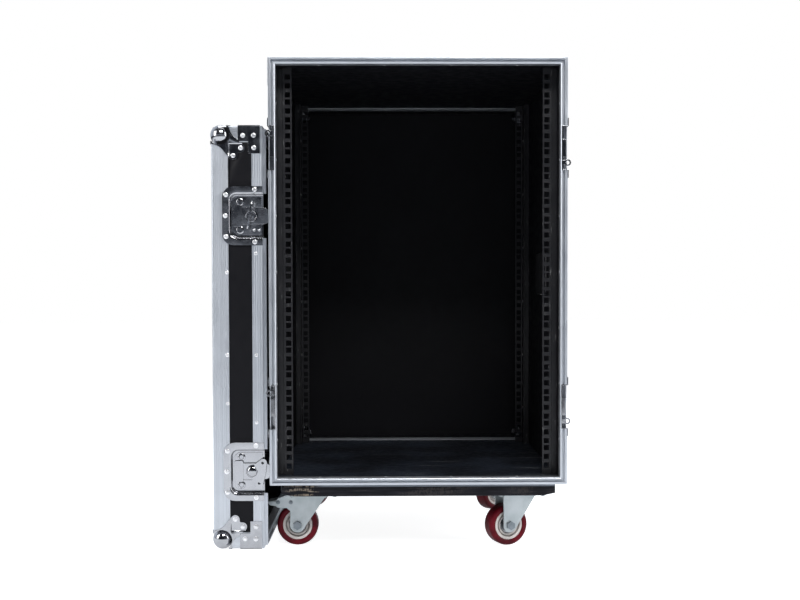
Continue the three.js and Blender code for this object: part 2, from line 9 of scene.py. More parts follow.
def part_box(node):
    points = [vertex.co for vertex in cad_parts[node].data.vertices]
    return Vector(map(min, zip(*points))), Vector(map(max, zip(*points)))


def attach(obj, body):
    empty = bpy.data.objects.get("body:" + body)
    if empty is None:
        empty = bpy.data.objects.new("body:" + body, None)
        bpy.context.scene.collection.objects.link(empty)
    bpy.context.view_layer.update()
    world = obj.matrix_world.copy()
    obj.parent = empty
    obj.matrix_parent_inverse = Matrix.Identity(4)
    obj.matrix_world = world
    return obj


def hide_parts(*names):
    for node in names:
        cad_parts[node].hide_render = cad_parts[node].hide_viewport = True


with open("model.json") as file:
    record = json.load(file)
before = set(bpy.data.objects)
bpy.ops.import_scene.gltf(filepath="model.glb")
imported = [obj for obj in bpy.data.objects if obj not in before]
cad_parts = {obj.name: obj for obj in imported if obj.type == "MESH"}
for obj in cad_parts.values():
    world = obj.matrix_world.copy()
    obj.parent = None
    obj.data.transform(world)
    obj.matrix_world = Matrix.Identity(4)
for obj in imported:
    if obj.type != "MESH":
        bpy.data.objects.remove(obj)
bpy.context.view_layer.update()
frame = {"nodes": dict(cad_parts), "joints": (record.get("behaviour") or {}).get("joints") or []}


# The studio: a pale floor without a back wall, bright all round and dim overhead and
# behind the camera, so that polished fittings low down mirror the floor and high ones
# mirror the dim side. Soft boxes left, right, above and behind shape the satin aluminium,
# and one high in front lights the floor of the bay.
MM = 0.001
SLEEVE_LOW = Vector(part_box("front_rim")[0])
SLEEVE_HIGH = Vector((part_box("front_rim")[1].x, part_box("rear_rim")[1].y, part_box("front_rim")[1].z))
SLEEVE_MIDDLE = (SLEEVE_LOW + SLEEVE_HIGH) / 2
CAMERA_SIDE, CAMERA_BACK, CAMERA_HEIGHT = -57 * MM, 2137.5 * MM, 470.7 * MM
CAMERA_TURN = [math.radians(angle) for angle in (-1.82, -0.81, 0.11)]

camera_data = bpy.data.cameras.new("camera")
camera_data.sensor_width = 36
camera_data.lens = 54.675
camera_data.shift_x = -0.0041
camera_data.shift_y = 0.0316
camera = bpy.data.objects.new("camera", camera_data)
bpy.context.scene.collection.objects.link(camera)
pitch, yaw, roll = CAMERA_TURN
camera.matrix_world = (
    Matrix.Translation((SLEEVE_MIDDLE.x + CAMERA_SIDE, SLEEVE_LOW.y - CAMERA_BACK, CAMERA_HEIGHT))
    @ Matrix.Rotation(yaw, 4, "Z")
    @ Matrix.Rotation(math.pi / 2 + pitch, 4, "X")
    @ Matrix.Rotation(-roll, 4, "Z")
)
bpy.context.scene.camera = camera
bpy.context.scene.view_settings.view_transform = "Standard"


def soft_box(name, place, aim, size, power):
    light = bpy.data.lights.new(name, "AREA")
    light.shape, light.size, light.size_y = "RECTANGLE", *size
    light.energy = power
    lamp = bpy.data.objects.new(name, light)
    lamp.location = place
    lamp.rotation_euler = (Vector(aim) - Vector(place)).to_track_quat("-Z", "Y").to_euler()
    bpy.context.scene.collection.objects.link(lamp)


soft_box("left_soft_box", (-2.6, -1.6, 1.5), (-0.2, 0, 0.5), (1.2, 2.2), 46)
soft_box("right_soft_box", (2.7, -1.3, 1.3), (0.2, 0, 0.4), (1.2, 2.2), 45)
soft_box("top_soft_box", (0, 0.4, 2.7), (0, 0, 0.5), (1.8, 1.8), 30)
soft_box("rear_soft_box", (0.6, 3.0, 1.6), (0, 0, 0.5), (2.0, 1.4), 40)
soft_box("front_soft_box", (0.4, -2.4, 2.6), (0.05, -0.2, 0.15), (1.4, 0.7), 60)


class Wire:
    """A socket on its way through the nodes: sums on it are Math nodes, node() adds any other kind."""

    def __init__(self, tree, socket=None):
        self.tree, self.socket = tree, socket

    def feed(self, socket, value):
        if isinstance(value, Wire):
            self.tree.links.new(value.socket, socket)
        else:
            socket.default_value = value

    def node(self, kind, settings=(), inputs=(), output=0):
        made = self.tree.nodes.new("ShaderNode" + kind)
        for name, value in dict(settings).items():
            setattr(made, name, value)
        for name, value in dict(inputs).items():
            self.feed(made.inputs[name], value)
        return Wire(self.tree, made.outputs[output])

    def maths(self, operation, first, second):
        return self.node("Math", {"operation": operation}, {0: first, 1: second})

    def __add__(self, other):
        return self.maths("ADD", self, other)

    def __sub__(self, other):
        return self.maths("SUBTRACT", self, other)

    def __rsub__(self, other):
        return self.maths("SUBTRACT", other, self)

    def __mul__(self, other):
        return self.maths("MULTIPLY", self, other)

    __radd__, __rmul__ = __add__, __mul__

    def ranged(self, start, end, low=0.0, high=1.0):
        """low up to start, high from end on, and a smooth step between them."""
        limits = {"From Min": start, "From Max": end, "To Min": low, "To Max": high}
        return self.node("MapRange", {"interpolation_type": "SMOOTHSTEP"}, {"Value": self, **limits})

    def tinted(self, colour, other):
        """colour where this mask is 0, other where it is 1."""
        ends = [c if isinstance(c, Wire) else (*c, 1) for c in (colour, other)]
        return self.node("Mix", {"data_type": "RGBA"}, {0: self, 6: ends[0], 7: ends[1]}, output=2)

    def noise(self, scale, detail=2.0, stretch=(1, 1, 1)):
        """Cloudy noise over these coordinates: scale is in lumps per metre."""
        place = self.node("Mapping", {}, {"Vector": self, "Scale": stretch})
        return self.node("TexNoise", {}, {"Vector": place, "Scale": scale, "Detail": detail})

    def raised(self, height, strength, depth):
        """The surface normal with this height pressed into it, depth in metres."""
        return self.node("Bump", {}, {"Height": height, "Strength": strength, "Distance": depth})


def new_finish(name):
    """A material, its object coordinates and the sockets of its shader."""
    material = bpy.data.materials.new(name)
    material.use_nodes = True
    place = Wire(material.node_tree).node("TexCoord", output=3)
    return material, place, material.node_tree.nodes["Principled BSDF"].inputs


def studio_world():
    world = bpy.data.worlds.new("studio")
    bpy.context.scene.world = world
    world.use_nodes = True
    tree = world.node_tree
    start = Wire(tree)
    direction = start.node("TexCoord", output=0)
    height = start.node("SeparateXYZ", {}, {"Vector": direction}, output=2)
    depth = start.node("SeparateXYZ", {}, {"Vector": direction}, output=1)
    dim = height.ranged(-0.03, 0.06) * (0 - depth).ranged(-0.35, 0.35)
    seen = start.node("LightPath", output=0)
    colour = dim.tinted((0.74, 0.80, 0.90), (0.018, 0.021, 0.028))
    shown = seen.tinted(colour, (1, 1, 1))
    start.feed(tree.nodes["Background"].inputs["Color"], shown)
    start.feed(tree.nodes["Background"].inputs["Strength"], 1.0)


def studio_floor():
    bpy.ops.object.select_all(action="DESELECT")
    bpy.ops.mesh.primitive_circle_add(vertices=64, radius=14, fill_type="NGON", location=(0, 0, 0))
    floor = bpy.context.object
    floor.name = "studio_floor"
    material, place, shader = new_finish("pale_floor")
    cloud = place.noise(1.5, 3.0)
    seen = place.node("LightPath", output=0)
    far = place.node("VectorMath", {"operation": "LENGTH"}, {0: place}, output=1).ranged(1.7, 3.2)
    pale = cloud.tinted((0.58, 0.59, 0.60), (0.62, 0.63, 0.64))
    place.feed(shader["Base Color"], far.tinted(pale, (0.05, 0.05, 0.055)))
    mirrored = far.tinted((0.44, 0.455, 0.48), (0.02, 0.02, 0.025))
    shown = far.tinted((0.92, 0.92, 0.92), (1, 1, 1))
    place.feed(shader["Emission Color"], seen.tinted(mirrored, shown))
    shader["Roughness"].default_value = 0.9
    shader["Specular IOR Level"].default_value = 0.0
    shader["Emission Strength"].default_value = 1.0
    floor.data.materials.append(material)


studio_world()
studio_floor()


# The sleeve: four panels of nine millimetre birch plywood, faced with black phenolic
# laminate that has a fine pebbled skin. They are glued at the corners and held by the
# aluminium around them. The floor of the bay is scuffed and dusty from use, and its dusty
# film is tinted bluish as a painted sheen.
def laminate(name, dust):
    material, place, shader = new_finish(name)
    cloud = place.noise(9, 4.0)
    pebble = place.node("TexVoronoi", {"feature": "SMOOTH_F1"},
                        {"Vector": place, "Scale": 900.0, "Smoothness": 0.4})
    grime = place.noise(70, 5.0)
    colour = cloud.tinted((0.0045, 0.0045, 0.006), (0.008, 0.008, 0.010))
    if dust:
        specks = place.node("TexVoronoi", {}, {"Vector": place, "Scale": 130.0})
        fleck = (1 - specks.ranged(0.06, 0.14)) * grime.ranged(0.44, 0.58)
        streak = place.noise(14, 3.0, stretch=(0.35, 7, 7))
        scratch = streak.ranged(0.66, 0.70) * place.noise(4, 2.0).ranged(0.46, 0.54)
        # a dusty film over the bay floor, tinted bluish as a painted sheen on the dust
        dust_film_and_painted_sheen = cloud.ranged(0.35, 0.7) * 0.6 + 0.2
        colour = dust_film_and_painted_sheen.tinted(colour, (0.022, 0.028, 0.040))
        colour = scratch.tinted(colour, (0.16, 0.17, 0.18))
        colour = fleck.tinted(colour, (0.34, 0.34, 0.34))
    place.feed(shader["Base Color"], colour)
    place.feed(shader["Roughness"], grime.ranged(0.3, 0.7, 0.40, 0.56))
    place.feed(shader["Normal"], place.raised(pebble, 0.25, 0.0003))
    shader["Specular IOR Level"].default_value = 0.13
    return material


PLAIN_LAMINATE = laminate("pebbled_laminate", dust=False)
DUSTY_LAMINATE = laminate("dusty_laminate", dust=True)


def refinish(node, material):
    cad_part = frame["nodes"][node]
    cad_part.data.materials.clear()
    cad_part.data.materials.append(material)


for panel in ("left_side_panel", "right_side_panel", "top_panel"):
    refinish(panel, PLAIN_LAMINATE)
refinish("bottom_panel", DUSTY_LAMINATE)


# The edge angles: extruded aluminium angles along the sleeve's four long edges, with
# fine ridges that hide scratches. They are cut to length and riveted through the
# plywood, a rivet every hundred and fifty millimetres on each leg.
EDGE_LEG, TRIM = 30, 1.7
RIVET_RADIUS = 4.2


def aluminium(name, along):
    """Satin extruded aluminium whose die lines run along one axis."""
    material, place, shader = new_finish(name)
    stretch = [0.003 if axis == along else 1 for axis in "xyz"]
    lines = place.noise(1400, 2.0, stretch)
    broad = place.noise(160, 2.0, stretch)
    smudge = place.noise(30, 4.0)
    shine = (lines * 0.5 + broad * 0.5).ranged(0.35, 0.65)
    place.feed(shader["Base Color"], shine.tinted((0.50, 0.525, 0.565), (0.60, 0.63, 0.675)))
    place.feed(shader["Roughness"], smudge.ranged(0.3, 0.7, 0.30, 0.42))
    place.feed(shader["Normal"], place.raised(lines, 0.07, 0.0002))
    shader["Metallic"].default_value = 0.8
    return material


ALUMINIUM = {axis: aluminium("aluminium_along_" + axis, axis) for axis in "xyz"}
AXES = {"x": Vector((1, 0, 0)), "y": Vector((0, 1, 0)), "z": Vector((0, 0, 1))}


def aluminium_along(run):
    """The finish whose die lines run the way that an extrusion does."""
    return ALUMINIUM["xyz"[max(range(3), key=lambda i: abs(run[i]))]]


def frame_at(origin, u, v, w=None):
    """A fitting's own frame in millimetres: its origin in metres and its axes in the sleeve's frame."""
    w = u.cross(v) if w is None else w
    rows = [(*(axis[i] * MM for axis in (u, v, w)), origin[i]) for i in range(3)]
    return Matrix(rows + [(0, 0, 0, 1)])


def settle(piece, place):
    """Moves a finished mesh from its fitting's own frame to its place; a mirrored frame turns it back out."""
    piece.data.transform(place)
    if place.to_3x3().determinant() < 0:
        piece.data.flip_normals()
    return piece


def blank(outline, low, high):
    """A sheet or bar with this outline, between two heights, in millimetres."""
    bpy.ops.object.select_all(action="DESELECT")
    bpy.ops.mesh.primitive_circle_add(vertices=len(outline), fill_type="NGON")
    piece = bpy.context.object
    for vertex, (x, y) in zip(piece.data.vertices, outline):
        vertex.co = (x, y, low)
    bpy.ops.object.mode_set(mode="EDIT")
    bpy.ops.mesh.select_all(action="SELECT")
    bpy.ops.mesh.extrude_region_move(TRANSFORM_OT_translate={"value": (0, 0, high - low)})
    bpy.ops.mesh.select_all(action="SELECT")
    bpy.ops.mesh.normals_make_consistent(inside=False)
    bpy.ops.object.mode_set(mode="OBJECT")
    return piece


def mitred(piece, height, slope):
    """Cuts a bar's end on a plane through (0, 0, height) that climbs slope per millimetre of x."""
    bpy.ops.object.mode_set(mode="EDIT")
    bpy.ops.mesh.select_all(action="SELECT")
    bpy.ops.mesh.bisect(plane_co=(0, 0, height), plane_no=(-slope, 0, 1), use_fill=True,
                        clear_inner=slope > 0, clear_outer=slope < 0)
    bpy.ops.object.mode_set(mode="OBJECT")
    return piece


def chosen(piece):
    """Selects one piece alone and makes it the active one."""
    bpy.ops.object.select_all(action="DESELECT")
    piece.select_set(True)
    bpy.context.view_layer.objects.active = piece


def softened(piece, radius, segments=2, angle=35):
    bpy.context.view_layer.objects.active = piece
    bevel = piece.modifiers.new("edges", "BEVEL")
    bevel.width, bevel.segments, bevel.angle_limit = radius, segments, math.radians(angle)
    bevel.limit_method = "ANGLE"
    bevel.miter_outer = "MITER_ARC"
    bpy.ops.object.modifier_apply(modifier="edges")
    return piece


def smoothed(piece, angle=40):
    chosen(piece)
    bpy.ops.object.shade_smooth_by_angle(angle=math.radians(angle))
    return piece


def copied(piece):
    twin = piece.copy()
    twin.data = piece.data.copy()
    bpy.context.scene.collection.objects.link(twin)
    return twin


def joined(pieces):
    bpy.ops.object.select_all(action="DESELECT")
    for piece in pieces:
        piece.select_set(True)
    bpy.context.view_layer.objects.active = pieces[0]
    if len(pieces) > 1:
        bpy.ops.object.join()
    return pieces[0]


def fitted(piece, name, material, body, slot, *stands_for):
    """Names a piece, finishes it, and lets it ride on a body in place of the nodes it stands for."""
    piece.name = piece.data.name = name
    bpy.context.view_layer.objects.active = piece
    flat = piece.modifiers.new("flat_faces", "WEIGHTED_NORMAL")
    flat.keep_sharp = True
    bpy.ops.object.modifier_apply(modifier="flat_faces")
    if material:
        piece.data.materials.clear()
        piece.data.materials.append(material)
    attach(piece, body)
    if stands_for:
        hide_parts(*stands_for)
    return piece


def ridged(start, end, count, depth=0.28):
    """Points (distance, depth) along a face with this many fine grooves."""
    pitch = (end - start) / count
    points = []
    for i in range(count):
        middle = start + pitch * (i + 0.5)
        brink = pitch * 0.28
        foot = brink * 0.6
        points += [(middle - brink, 0), (middle - foot, depth), (middle + foot, depth), (middle + brink, 0)]
    return points


def arc(x, y, radius, start, end, steps=4):
    """Points round a centre from one angle in degrees to another."""
    angles = [math.radians(start + (end - start) * i / steps) for i in range(steps + 1)]
    return [(x + radius * math.cos(a), y + radius * math.sin(a)) for a in angles]


def angle_profile(leg=EDGE_LEG):
    face = ridged(4, leg - 1, 7)
    corner = arc(3, 3, 3, 270, 180)
    outside = [(leg, 0.3)] + [(d, h) for d, h in reversed(face)] + corner + [(h, d) for d, h in face]
    return outside + [(0.3, leg), (TRIM, leg), (TRIM, TRIM), (leg, TRIM)]


def polished(name, colour, rough):
    """Bright plated steel: finger marks change its gloss, and the pressing leaves it a little wavy."""
    material, place, shader = new_finish(name)
    marks = place.noise(60, 5.0)
    waves = place.noise(45, 1.0)
    place.feed(shader["Base Color"], marks.ranged(0.3, 0.7).tinted([c * 0.86 for c in colour], colour))
    place.feed(shader["Roughness"], marks.ranged(0.35, 0.7, rough, rough + 0.10))
    place.feed(shader["Normal"], place.raised(waves, 0.06, 0.002))
    shader["Metallic"].default_value = 1.0
    return material


RIVET_STEEL = polished("rivet_steel", (0.90, 0.90, 0.92), 0.30)


def rivet_head():
    """A pop rivet's domed head with the dimple that its stem leaves."""
    bpy.ops.object.select_all(action="DESELECT")
    bpy.ops.mesh.primitive_cylinder_add(vertices=12, radius=RIVET_RADIUS, depth=0.6, location=(0, 0, 0.3))
    head = bpy.context.object
    bpy.ops.object.transform_apply(location=True)
    bpy.ops.object.mode_set(mode="EDIT")
    mesh = bmesh.from_edit_mesh(head.data)
    for face in mesh.faces:
        face.select_set(face.normal.z > 0.9)
    bpy.ops.mesh.inset(thickness=RIVET_RADIUS * 0.22, depth=0.55)
    bpy.ops.mesh.inset(thickness=RIVET_RADIUS * 0.36, depth=0.12)
    bpy.ops.mesh.inset(thickness=RIVET_RADIUS * 0.10, depth=-0.5)
    bpy.ops.object.mode_set(mode="OBJECT")
    smoothed(head, 50)
    head.data.materials.append(RIVET_STEEL)
    bpy.context.scene.collection.objects.unlink(head)
    return head


RIVET = rivet_head()


def rivets(name, body, slot, seats):
    """Rivet heads at seats: frames whose w axis points out of the face."""
    heads = [settle(copied(RIVET), seat) for seat in seats]
    return fitted(joined(heads), name, None, body, slot)


def seat(place, x, y, height=0.0):
    return place @ Matrix.Translation((x, y, height))


def spaced(start, end, pitch):
    count = max(1, round((end - start) / pitch))
    return [start + (end - start) * (i + 0.5) / count for i in range(count)]


for row, z_side in (("top", 1), ("bottom", -1)):
    for side, x_side in (("left", -1), ("right", 1)):
        node = f"{row}_{side}_edge_angle"
        low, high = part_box(node)
        corner = Vector((high.x if x_side > 0 else low.x, low.y, high.z if z_side > 0 else low.z))
        length = (high.y - low.y) / MM
        place = frame_at(corner, AXES["x"] * -x_side, AXES["z"] * -z_side, AXES["y"])
        bar = smoothed(settle(blank(angle_profile(), 0, length), place), 25)
        fitted(bar, f"{node}_extrusion", ALUMINIUM["y"], "root", "aluminium", node)
        seats = []
        for t in spaced(0, length, 150):
            flank = frame_at(corner + AXES["y"] * t * MM, AXES["y"], AXES["z"] * -z_side, AXES["x"] * x_side)
            roof = frame_at(corner + AXES["y"] * t * MM, AXES["y"], AXES["x"] * -x_side, AXES["z"] * z_side)
            seats += [seat(flank, 0, 22), seat(roof, 0, 22)]
        rivets(f"{node}_rivets", "root", "aluminium", seats)


# The rims: a grooved extrusion round each open end of the sleeve, mitred at the corners
# and riveted through its inner lip. The groove takes the lid's tongue. The side rims are
# notched where the keepers stand.
RIM_FLANGE, RIM_WIDTH = 25, 13
NOTCH_HALF, NOTCH_DEPTH, NOTCH_WEB = 39.5, 10.9, 2.1
LIP_RIVET_BACK, LIP_RIVET_END, LIP_RIVET_PITCH, LIP_RIVET_SCALE = 13.4, 30, 105, 0.62
KEEPERS = [(side, row) for side in ("left", "right") for row in ("upper", "lower")]


def female_profile():
    """Across the rim from its outer face, and back from its front."""
    flange = [(h, d) for d, h in ridged(10, RIM_FLANGE - 1, 4)]
    nose = arc(1.4, 1.4, 1.4, 180, 270, 3)
    groove = [(4.1, 0), (4.7, 0.7), (4.9, 7), (8.1, 7), (8.3, 0.7), (8.9, 0)]
    lip = arc(RIM_WIDTH - 3.6, 3.6, 3.6, 270, 360, 5)
    back = [(RIM_WIDTH, 17), (RIM_WIDTH - TRIM, 17), (RIM_WIDTH - TRIM, 9), (TRIM, 9), (TRIM, RIM_FLANGE)]
    return [(0, RIM_FLANGE)] + flange[::-1] + nose + groove + lip + back


HAIRLINE = 0.12


def mitred_frame(profile, corner, across, up, into, width, height):
    """Four mitred bars round a rectangle from one corner: profile x runs inwards, y runs along into."""
    bars = []
    rounds = [(corner, across, up, width), (corner + across * width * MM, up, -across, height),
              (corner + across * width * MM + up * height * MM, -across, -up, width),
              (corner + up * height * MM, -up, across, height)]
    for start, run, inwards, length in rounds:
        bar = mitred(mitred(blank(profile, 0, length), HAIRLINE, 1), length - HAIRLINE, -1)
        smoothed(settle(bar, frame_at(start, inwards, into, run)), 25)
        bar.data.materials.append(aluminium_along(run))
        bars.append(bar)
    return joined(bars)


def block(low, high):
    bpy.ops.object.select_all(action="DESELECT")
    bpy.ops.mesh.primitive_cube_add(size=1)
    tool = bpy.context.object
    tool.data.transform(Matrix.Translation((low + high) / 2) @ Matrix.Diagonal((*(high - low), 1)))
    return tool


def carved(piece, tool, operation="DIFFERENCE"):
    """Takes a tool's shape out of a piece, or adds it to it, and uses the tool up."""
    carve = piece.modifiers.new("carve", "BOOLEAN")
    carve.operation, carve.solver, carve.object = operation, "EXACT", tool
    bpy.context.view_layer.objects.active = piece
    bpy.ops.object.modifier_apply(modifier="carve")
    bpy.data.objects.remove(tool)
    return piece


for end, y_side in (("front", -1), ("rear", 1)):
    node = f"{end}_rim"
    low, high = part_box(node)
    corner = Vector((low.x, low.y if y_side < 0 else high.y, low.z))
    size = (high - low) / MM
    ring = mitred_frame(female_profile(), corner, AXES["x"], AXES["z"], AXES["y"] * -y_side, size.x, size.z)
    if y_side < 0:
        for side, row in KEEPERS:
            keeper_low, keeper_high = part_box(f"{side}_{row}_keeper")
            middle = (keeper_low.z + keeper_high.z) / 2
            x_side = -1 if side == "left" else 1
            edge = low.x if x_side < 0 else high.x
            xs = sorted((edge + x_side * 0.01, edge - x_side * (RIM_WIDTH - NOTCH_WEB) * MM))
            notch_low = Vector((xs[0], low.y - 0.01, middle - NOTCH_HALF * MM))
            notch_high = Vector((xs[1], low.y + NOTCH_DEPTH * MM, middle + NOTCH_HALF * MM))
            carved(ring, block(notch_low, notch_high))
    fitted(ring, f"{end}_rim_extrusion", None, "root", "aluminium", node)
    inset = RIM_WIDTH * MM
    lip_y = corner.y - y_side * LIP_RIVET_BACK * MM
    seats = []
    for along in spaced(LIP_RIVET_END, size.x - LIP_RIVET_END, LIP_RIVET_PITCH):
        for z_side, z in ((-1, low.z + inset), (1, high.z - inset)):
            spot = Vector((low.x + along * MM, lip_y, z))
            seats.append(frame_at(spot, AXES["x"], AXES["y"], AXES["z"] * -z_side))
    for along in spaced(LIP_RIVET_END, size.z - LIP_RIVET_END, LIP_RIVET_PITCH):
        for x_side, x in ((-1, low.x + inset), (1, high.x - inset)):
            spot = Vector((x, lip_y, low.z + along * MM))
            seats.append(frame_at(spot, AXES["z"], AXES["y"], AXES["x"] * -x_side))
    small = Matrix.Scale(LIP_RIVET_SCALE, 4)
    rivets(f"{end}_rim_rivets", "root", "aluminium", [place @ small for place in seats])


# The rack rails: two millimetre steel angles, powder coated black, punched with square
# holes on the rack pitch. A painted batten packs each one out from the side panel, and
# screws hold its side leg.
def powder_coat():
    material, place, shader = new_finish("black_powder_coat")
    cloud = place.noise(35, 4.0)
    rub = place.noise(420, 3.0, (1, 1, 0.15)).ranged(0.62, 0.70) * cloud.ranged(0.45, 0.6)
    place.feed(shader["Base Color"], rub.tinted((0.013, 0.013, 0.015), (0.10, 0.10, 0.10)))
    place.feed(shader["Roughness"], cloud.ranged(0.3, 0.7, 0.30, 0.45))
    place.feed(shader["Normal"], place.raised(place.noise(1500, 2.0), 0.10, 0.0002))
    shader["Specular IOR Level"].default_value = 0.4
    return material


def merged(node):
    """A copy of a node's mesh with its loose triangles merged back into whole faces."""
    piece = bpy.data.objects.new(node, frame["nodes"][node].data.copy())
    bpy.context.scene.collection.objects.link(piece)
    chosen(piece)
    bpy.ops.object.mode_set(mode="EDIT")
    bpy.ops.mesh.select_all(action="SELECT")
    bpy.ops.mesh.remove_doubles(threshold=0.00002)
    bpy.ops.mesh.dissolve_limited(angle_limit=math.radians(1))
    bpy.ops.object.mode_set(mode="OBJECT")
    if "custom_normal" in piece.data.attributes:
        piece.data.attributes.remove(piece.data.attributes["custom_normal"])
    return piece


POWDER_COAT = powder_coat()
BATTEN_SET_BACK, BATTEN_SHORT, BATTEN_GAP = 1.5, 6, 0.1
RAIL_STEEL, SCREW_END, SCREW_PITCH, SCREW_SCALE = 2.0, 20, 115, 0.7
for end, y_side in (("front", -1), ("rear", 1)):
    for side, x_side in (("left", -1), ("right", 1)):
        node = f"{end}_{side}_rack_rail"
        low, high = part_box(node)
        refinish(node, POWDER_COAT)
        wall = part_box(f"{side}_side_panel")
        outer = high.x if x_side > 0 else low.x
        inner_face = wall[0].x if x_side > 0 else wall[1].x
        face_y, back_y = (low.y, high.y) if y_side < 0 else (high.y, low.y)
        xs = sorted((outer + x_side * BATTEN_GAP * MM, inner_face - x_side * BATTEN_GAP * MM))
        ys = sorted((face_y - y_side * BATTEN_SET_BACK * MM, back_y + y_side * BATTEN_SHORT * MM))
        across, depth, height = (xs[1] - xs[0]) / MM, (ys[1] - ys[0]) / MM, (high.z - low.z) / MM
        strip = softened(blank([(0, 0), (across, 0), (across, depth), (0, depth)], 0, height), 1.2)
        settle(smoothed(strip), frame_at(Vector((xs[0], ys[0], low.z)), AXES["x"], AXES["y"], AXES["z"]))
        fitted(strip, f"{node}_batten", POWDER_COAT, "root", "black_steel")
        middle = (low.y + high.y) / 2 - y_side * 4 * MM
        seats = []
        for z in spaced(SCREW_END, height - SCREW_END, SCREW_PITCH):
            spot = Vector((outer - x_side * RAIL_STEEL * MM, middle, low.z + z * MM))
            seats.append(frame_at(spot, AXES["y"], AXES["z"] * -x_side) @ Matrix.Scale(SCREW_SCALE, 4))
        rivets(f"{node}_screws", "root", "bright_steel", seats)


# The keepers: pressed steel pockets let into the side rims, with the bar that the lid's
# hook pulls on and a ring for a padlock. Four rivets hold each one to the panel.
NICKEL = polished("nickel_plate", (0.46, 0.465, 0.485), 0.11)


def pressed(node, radius, segments=2, angle=35):
    """A node's pressing with its sheared edges rounded, radius in millimetres."""
    return smoothed(softened(merged(node), radius * MM, segments), angle)


for side, row in KEEPERS:
    node = f"{side}_{row}_keeper"
    low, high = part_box(node)
    x_side = -1 if side == "left" else 1
    fitted(pressed(node, 0.45), f"{node}_pressing", NICKEL, "root", "bright_steel", node)
    face = (SLEEVE_LOW if x_side < 0 else SLEEVE_HIGH).x + x_side * 1.5 * MM
    spot = Vector((face, SLEEVE_LOW.y, (low.z + high.z) / 2))
    place = frame_at(spot, AXES["y"], AXES["z"] * x_side, AXES["x"] * x_side)
    rivets(f"{node}_rivets", "root", "bright_steel", [seat(place, u, v) for u in (12, 37) for v in (-46, 46)])


# The carry handles: a drawn steel dish let into each side, its back inside the bay given
# the black powder coat as painted shade, and a sprung bail with a rubber grip that lies in it
# and swings out ninety degrees.
HANDLE_FLANGE, HANDLE_OPENING, HANDLE_FLOOR = (178, 108), (150, 82), -12.3
HANDLE_DRAW = ((7, 1.5), (3.5, 1.1), (1.2, 0.2), (0, -1.6), (-1, -10.2), (-3.4, -11.9), (-7, HANDLE_FLOOR))
BAIL_HALF, GRIP_DROP, PIVOT_RISE, BAIL_DEPTH = 56, -18, 28, -6


def rounded(width, height, radius, steps=4):
    x, y = width / 2 - radius, height / 2 - radius
    corners = ((x, y, 0), (-x, y, 90), (-x, -y, 180), (x, -y, 270))
    return [point for cx, cy, start in corners for point in arc(cx, cy, radius, start, start + 90, steps)]


def drawn(rows, closed=True):
    """A skin through rows of points with the same count, as drawn from one sheet."""
    bpy.ops.object.select_all(action="DESELECT")
    across = len(rows[0]) + closed
    bpy.ops.mesh.primitive_grid_add(x_subdivisions=across - 1, y_subdivisions=len(rows) - 1)
    piece = bpy.context.object
    points = [point for row in rows for point in list(row) + list(row[:1] if closed else [])]
    for vertex, point in zip(piece.data.vertices, points):
        vertex.co = point
    bpy.ops.object.mode_set(mode="EDIT")
    bpy.ops.mesh.select_all(action="SELECT")
    bpy.ops.mesh.remove_doubles(threshold=0.001)
    bpy.ops.mesh.normals_make_consistent(inside=False)
    bpy.ops.object.mode_set(mode="OBJECT")
    return piece


def facing(piece):
    """Turns a skin over if its widest face looks away from +Z."""
    widest = max(piece.data.polygons, key=lambda polygon: polygon.area)
    if widest.normal.z < 0:
        piece.data.flip_normals()
    return piece


def thickened(piece, thickness):
    bpy.context.view_layer.objects.active = piece
    wall = piece.modifiers.new("wall", "SOLIDIFY")
    wall.thickness, wall.offset = thickness, -1
    bpy.ops.object.modifier_apply(modifier="wall")
    return piece


def level(points, height):
    return [(x, y, height) for x, y in points]


def tube(points, radius):
    """A round bar along a line of points."""
    curve = bpy.data.curves.new("bar", "CURVE")
    curve.dimensions = "3D"
    curve.bevel_depth, curve.bevel_resolution, curve.use_fill_caps = radius, 3, True
    spline = curve.splines.new("POLY")
    spline.points.add(len(points) - 1)
    for point, place in zip(spline.points, points):
        point.co = (*place, 1)
    bar = bpy.data.objects.new("bar", curve)
    bpy.context.scene.collection.objects.link(bar)
    chosen(bar)
    bpy.ops.object.convert(target="MESH")
    return bpy.context.object


def turned(profile, steps=40):
    """A ring of (radius, height) points spun round Z into a solid."""
    bpy.ops.object.select_all(action="DESELECT")
    bpy.ops.mesh.primitive_circle_add(vertices=len(profile), fill_type="NOTHING")
    piece = bpy.context.object
    for vertex, (radius, height) in zip(piece.data.vertices, profile):
        vertex.co = (radius, 0, height)
    bpy.ops.object.mode_set(mode="EDIT")
    bpy.ops.mesh.select_all(action="SELECT")
    bpy.ops.mesh.spin(steps=steps, angle=2 * math.pi, center=(0, 0, 0), axis=(0, 0, 1))
    bpy.ops.mesh.select_all(action="SELECT")
    bpy.ops.mesh.remove_doubles(threshold=0.001)
    bpy.ops.mesh.dissolve_degenerate()
    bpy.ops.mesh.select_all(action="SELECT")
    bpy.ops.mesh.normals_make_consistent(inside=False)
    bpy.ops.object.mode_set(mode="OBJECT")
    return piece


def grip_rubber():
    material, place, shader = new_finish("grip_rubber")
    cloud = place.noise(60, 4.0)
    place.feed(shader["Base Color"], cloud.tinted((0.012, 0.012, 0.012), (0.022, 0.022, 0.023)))
    place.feed(shader["Roughness"], cloud.ranged(0.3, 0.7, 0.55, 0.72))
    place.feed(shader["Normal"], place.raised(place.noise(2200, 2.0), 0.25, 0.0002))
    return material


def handle_dish():
    crest = [side - 0.6 for side in HANDLE_FLANGE]
    rows = [level(rounded(*HANDLE_FLANGE, 14), 0.3), level(rounded(*crest, 13.7), 1.5)]
    for grow, height in HANDLE_DRAW:
        rows.append(level(rounded(*(s + grow for s in HANDLE_OPENING), 12 + grow / 2), height))
    rows.append(level(rounded(60, 24, 8), HANDLE_FLOOR))
    rows.append(level([(0, 0)] * len(rows[0]), HANDLE_FLOOR))
    return smoothed(thickened(facing(drawn(rows)), 1.1), 40)


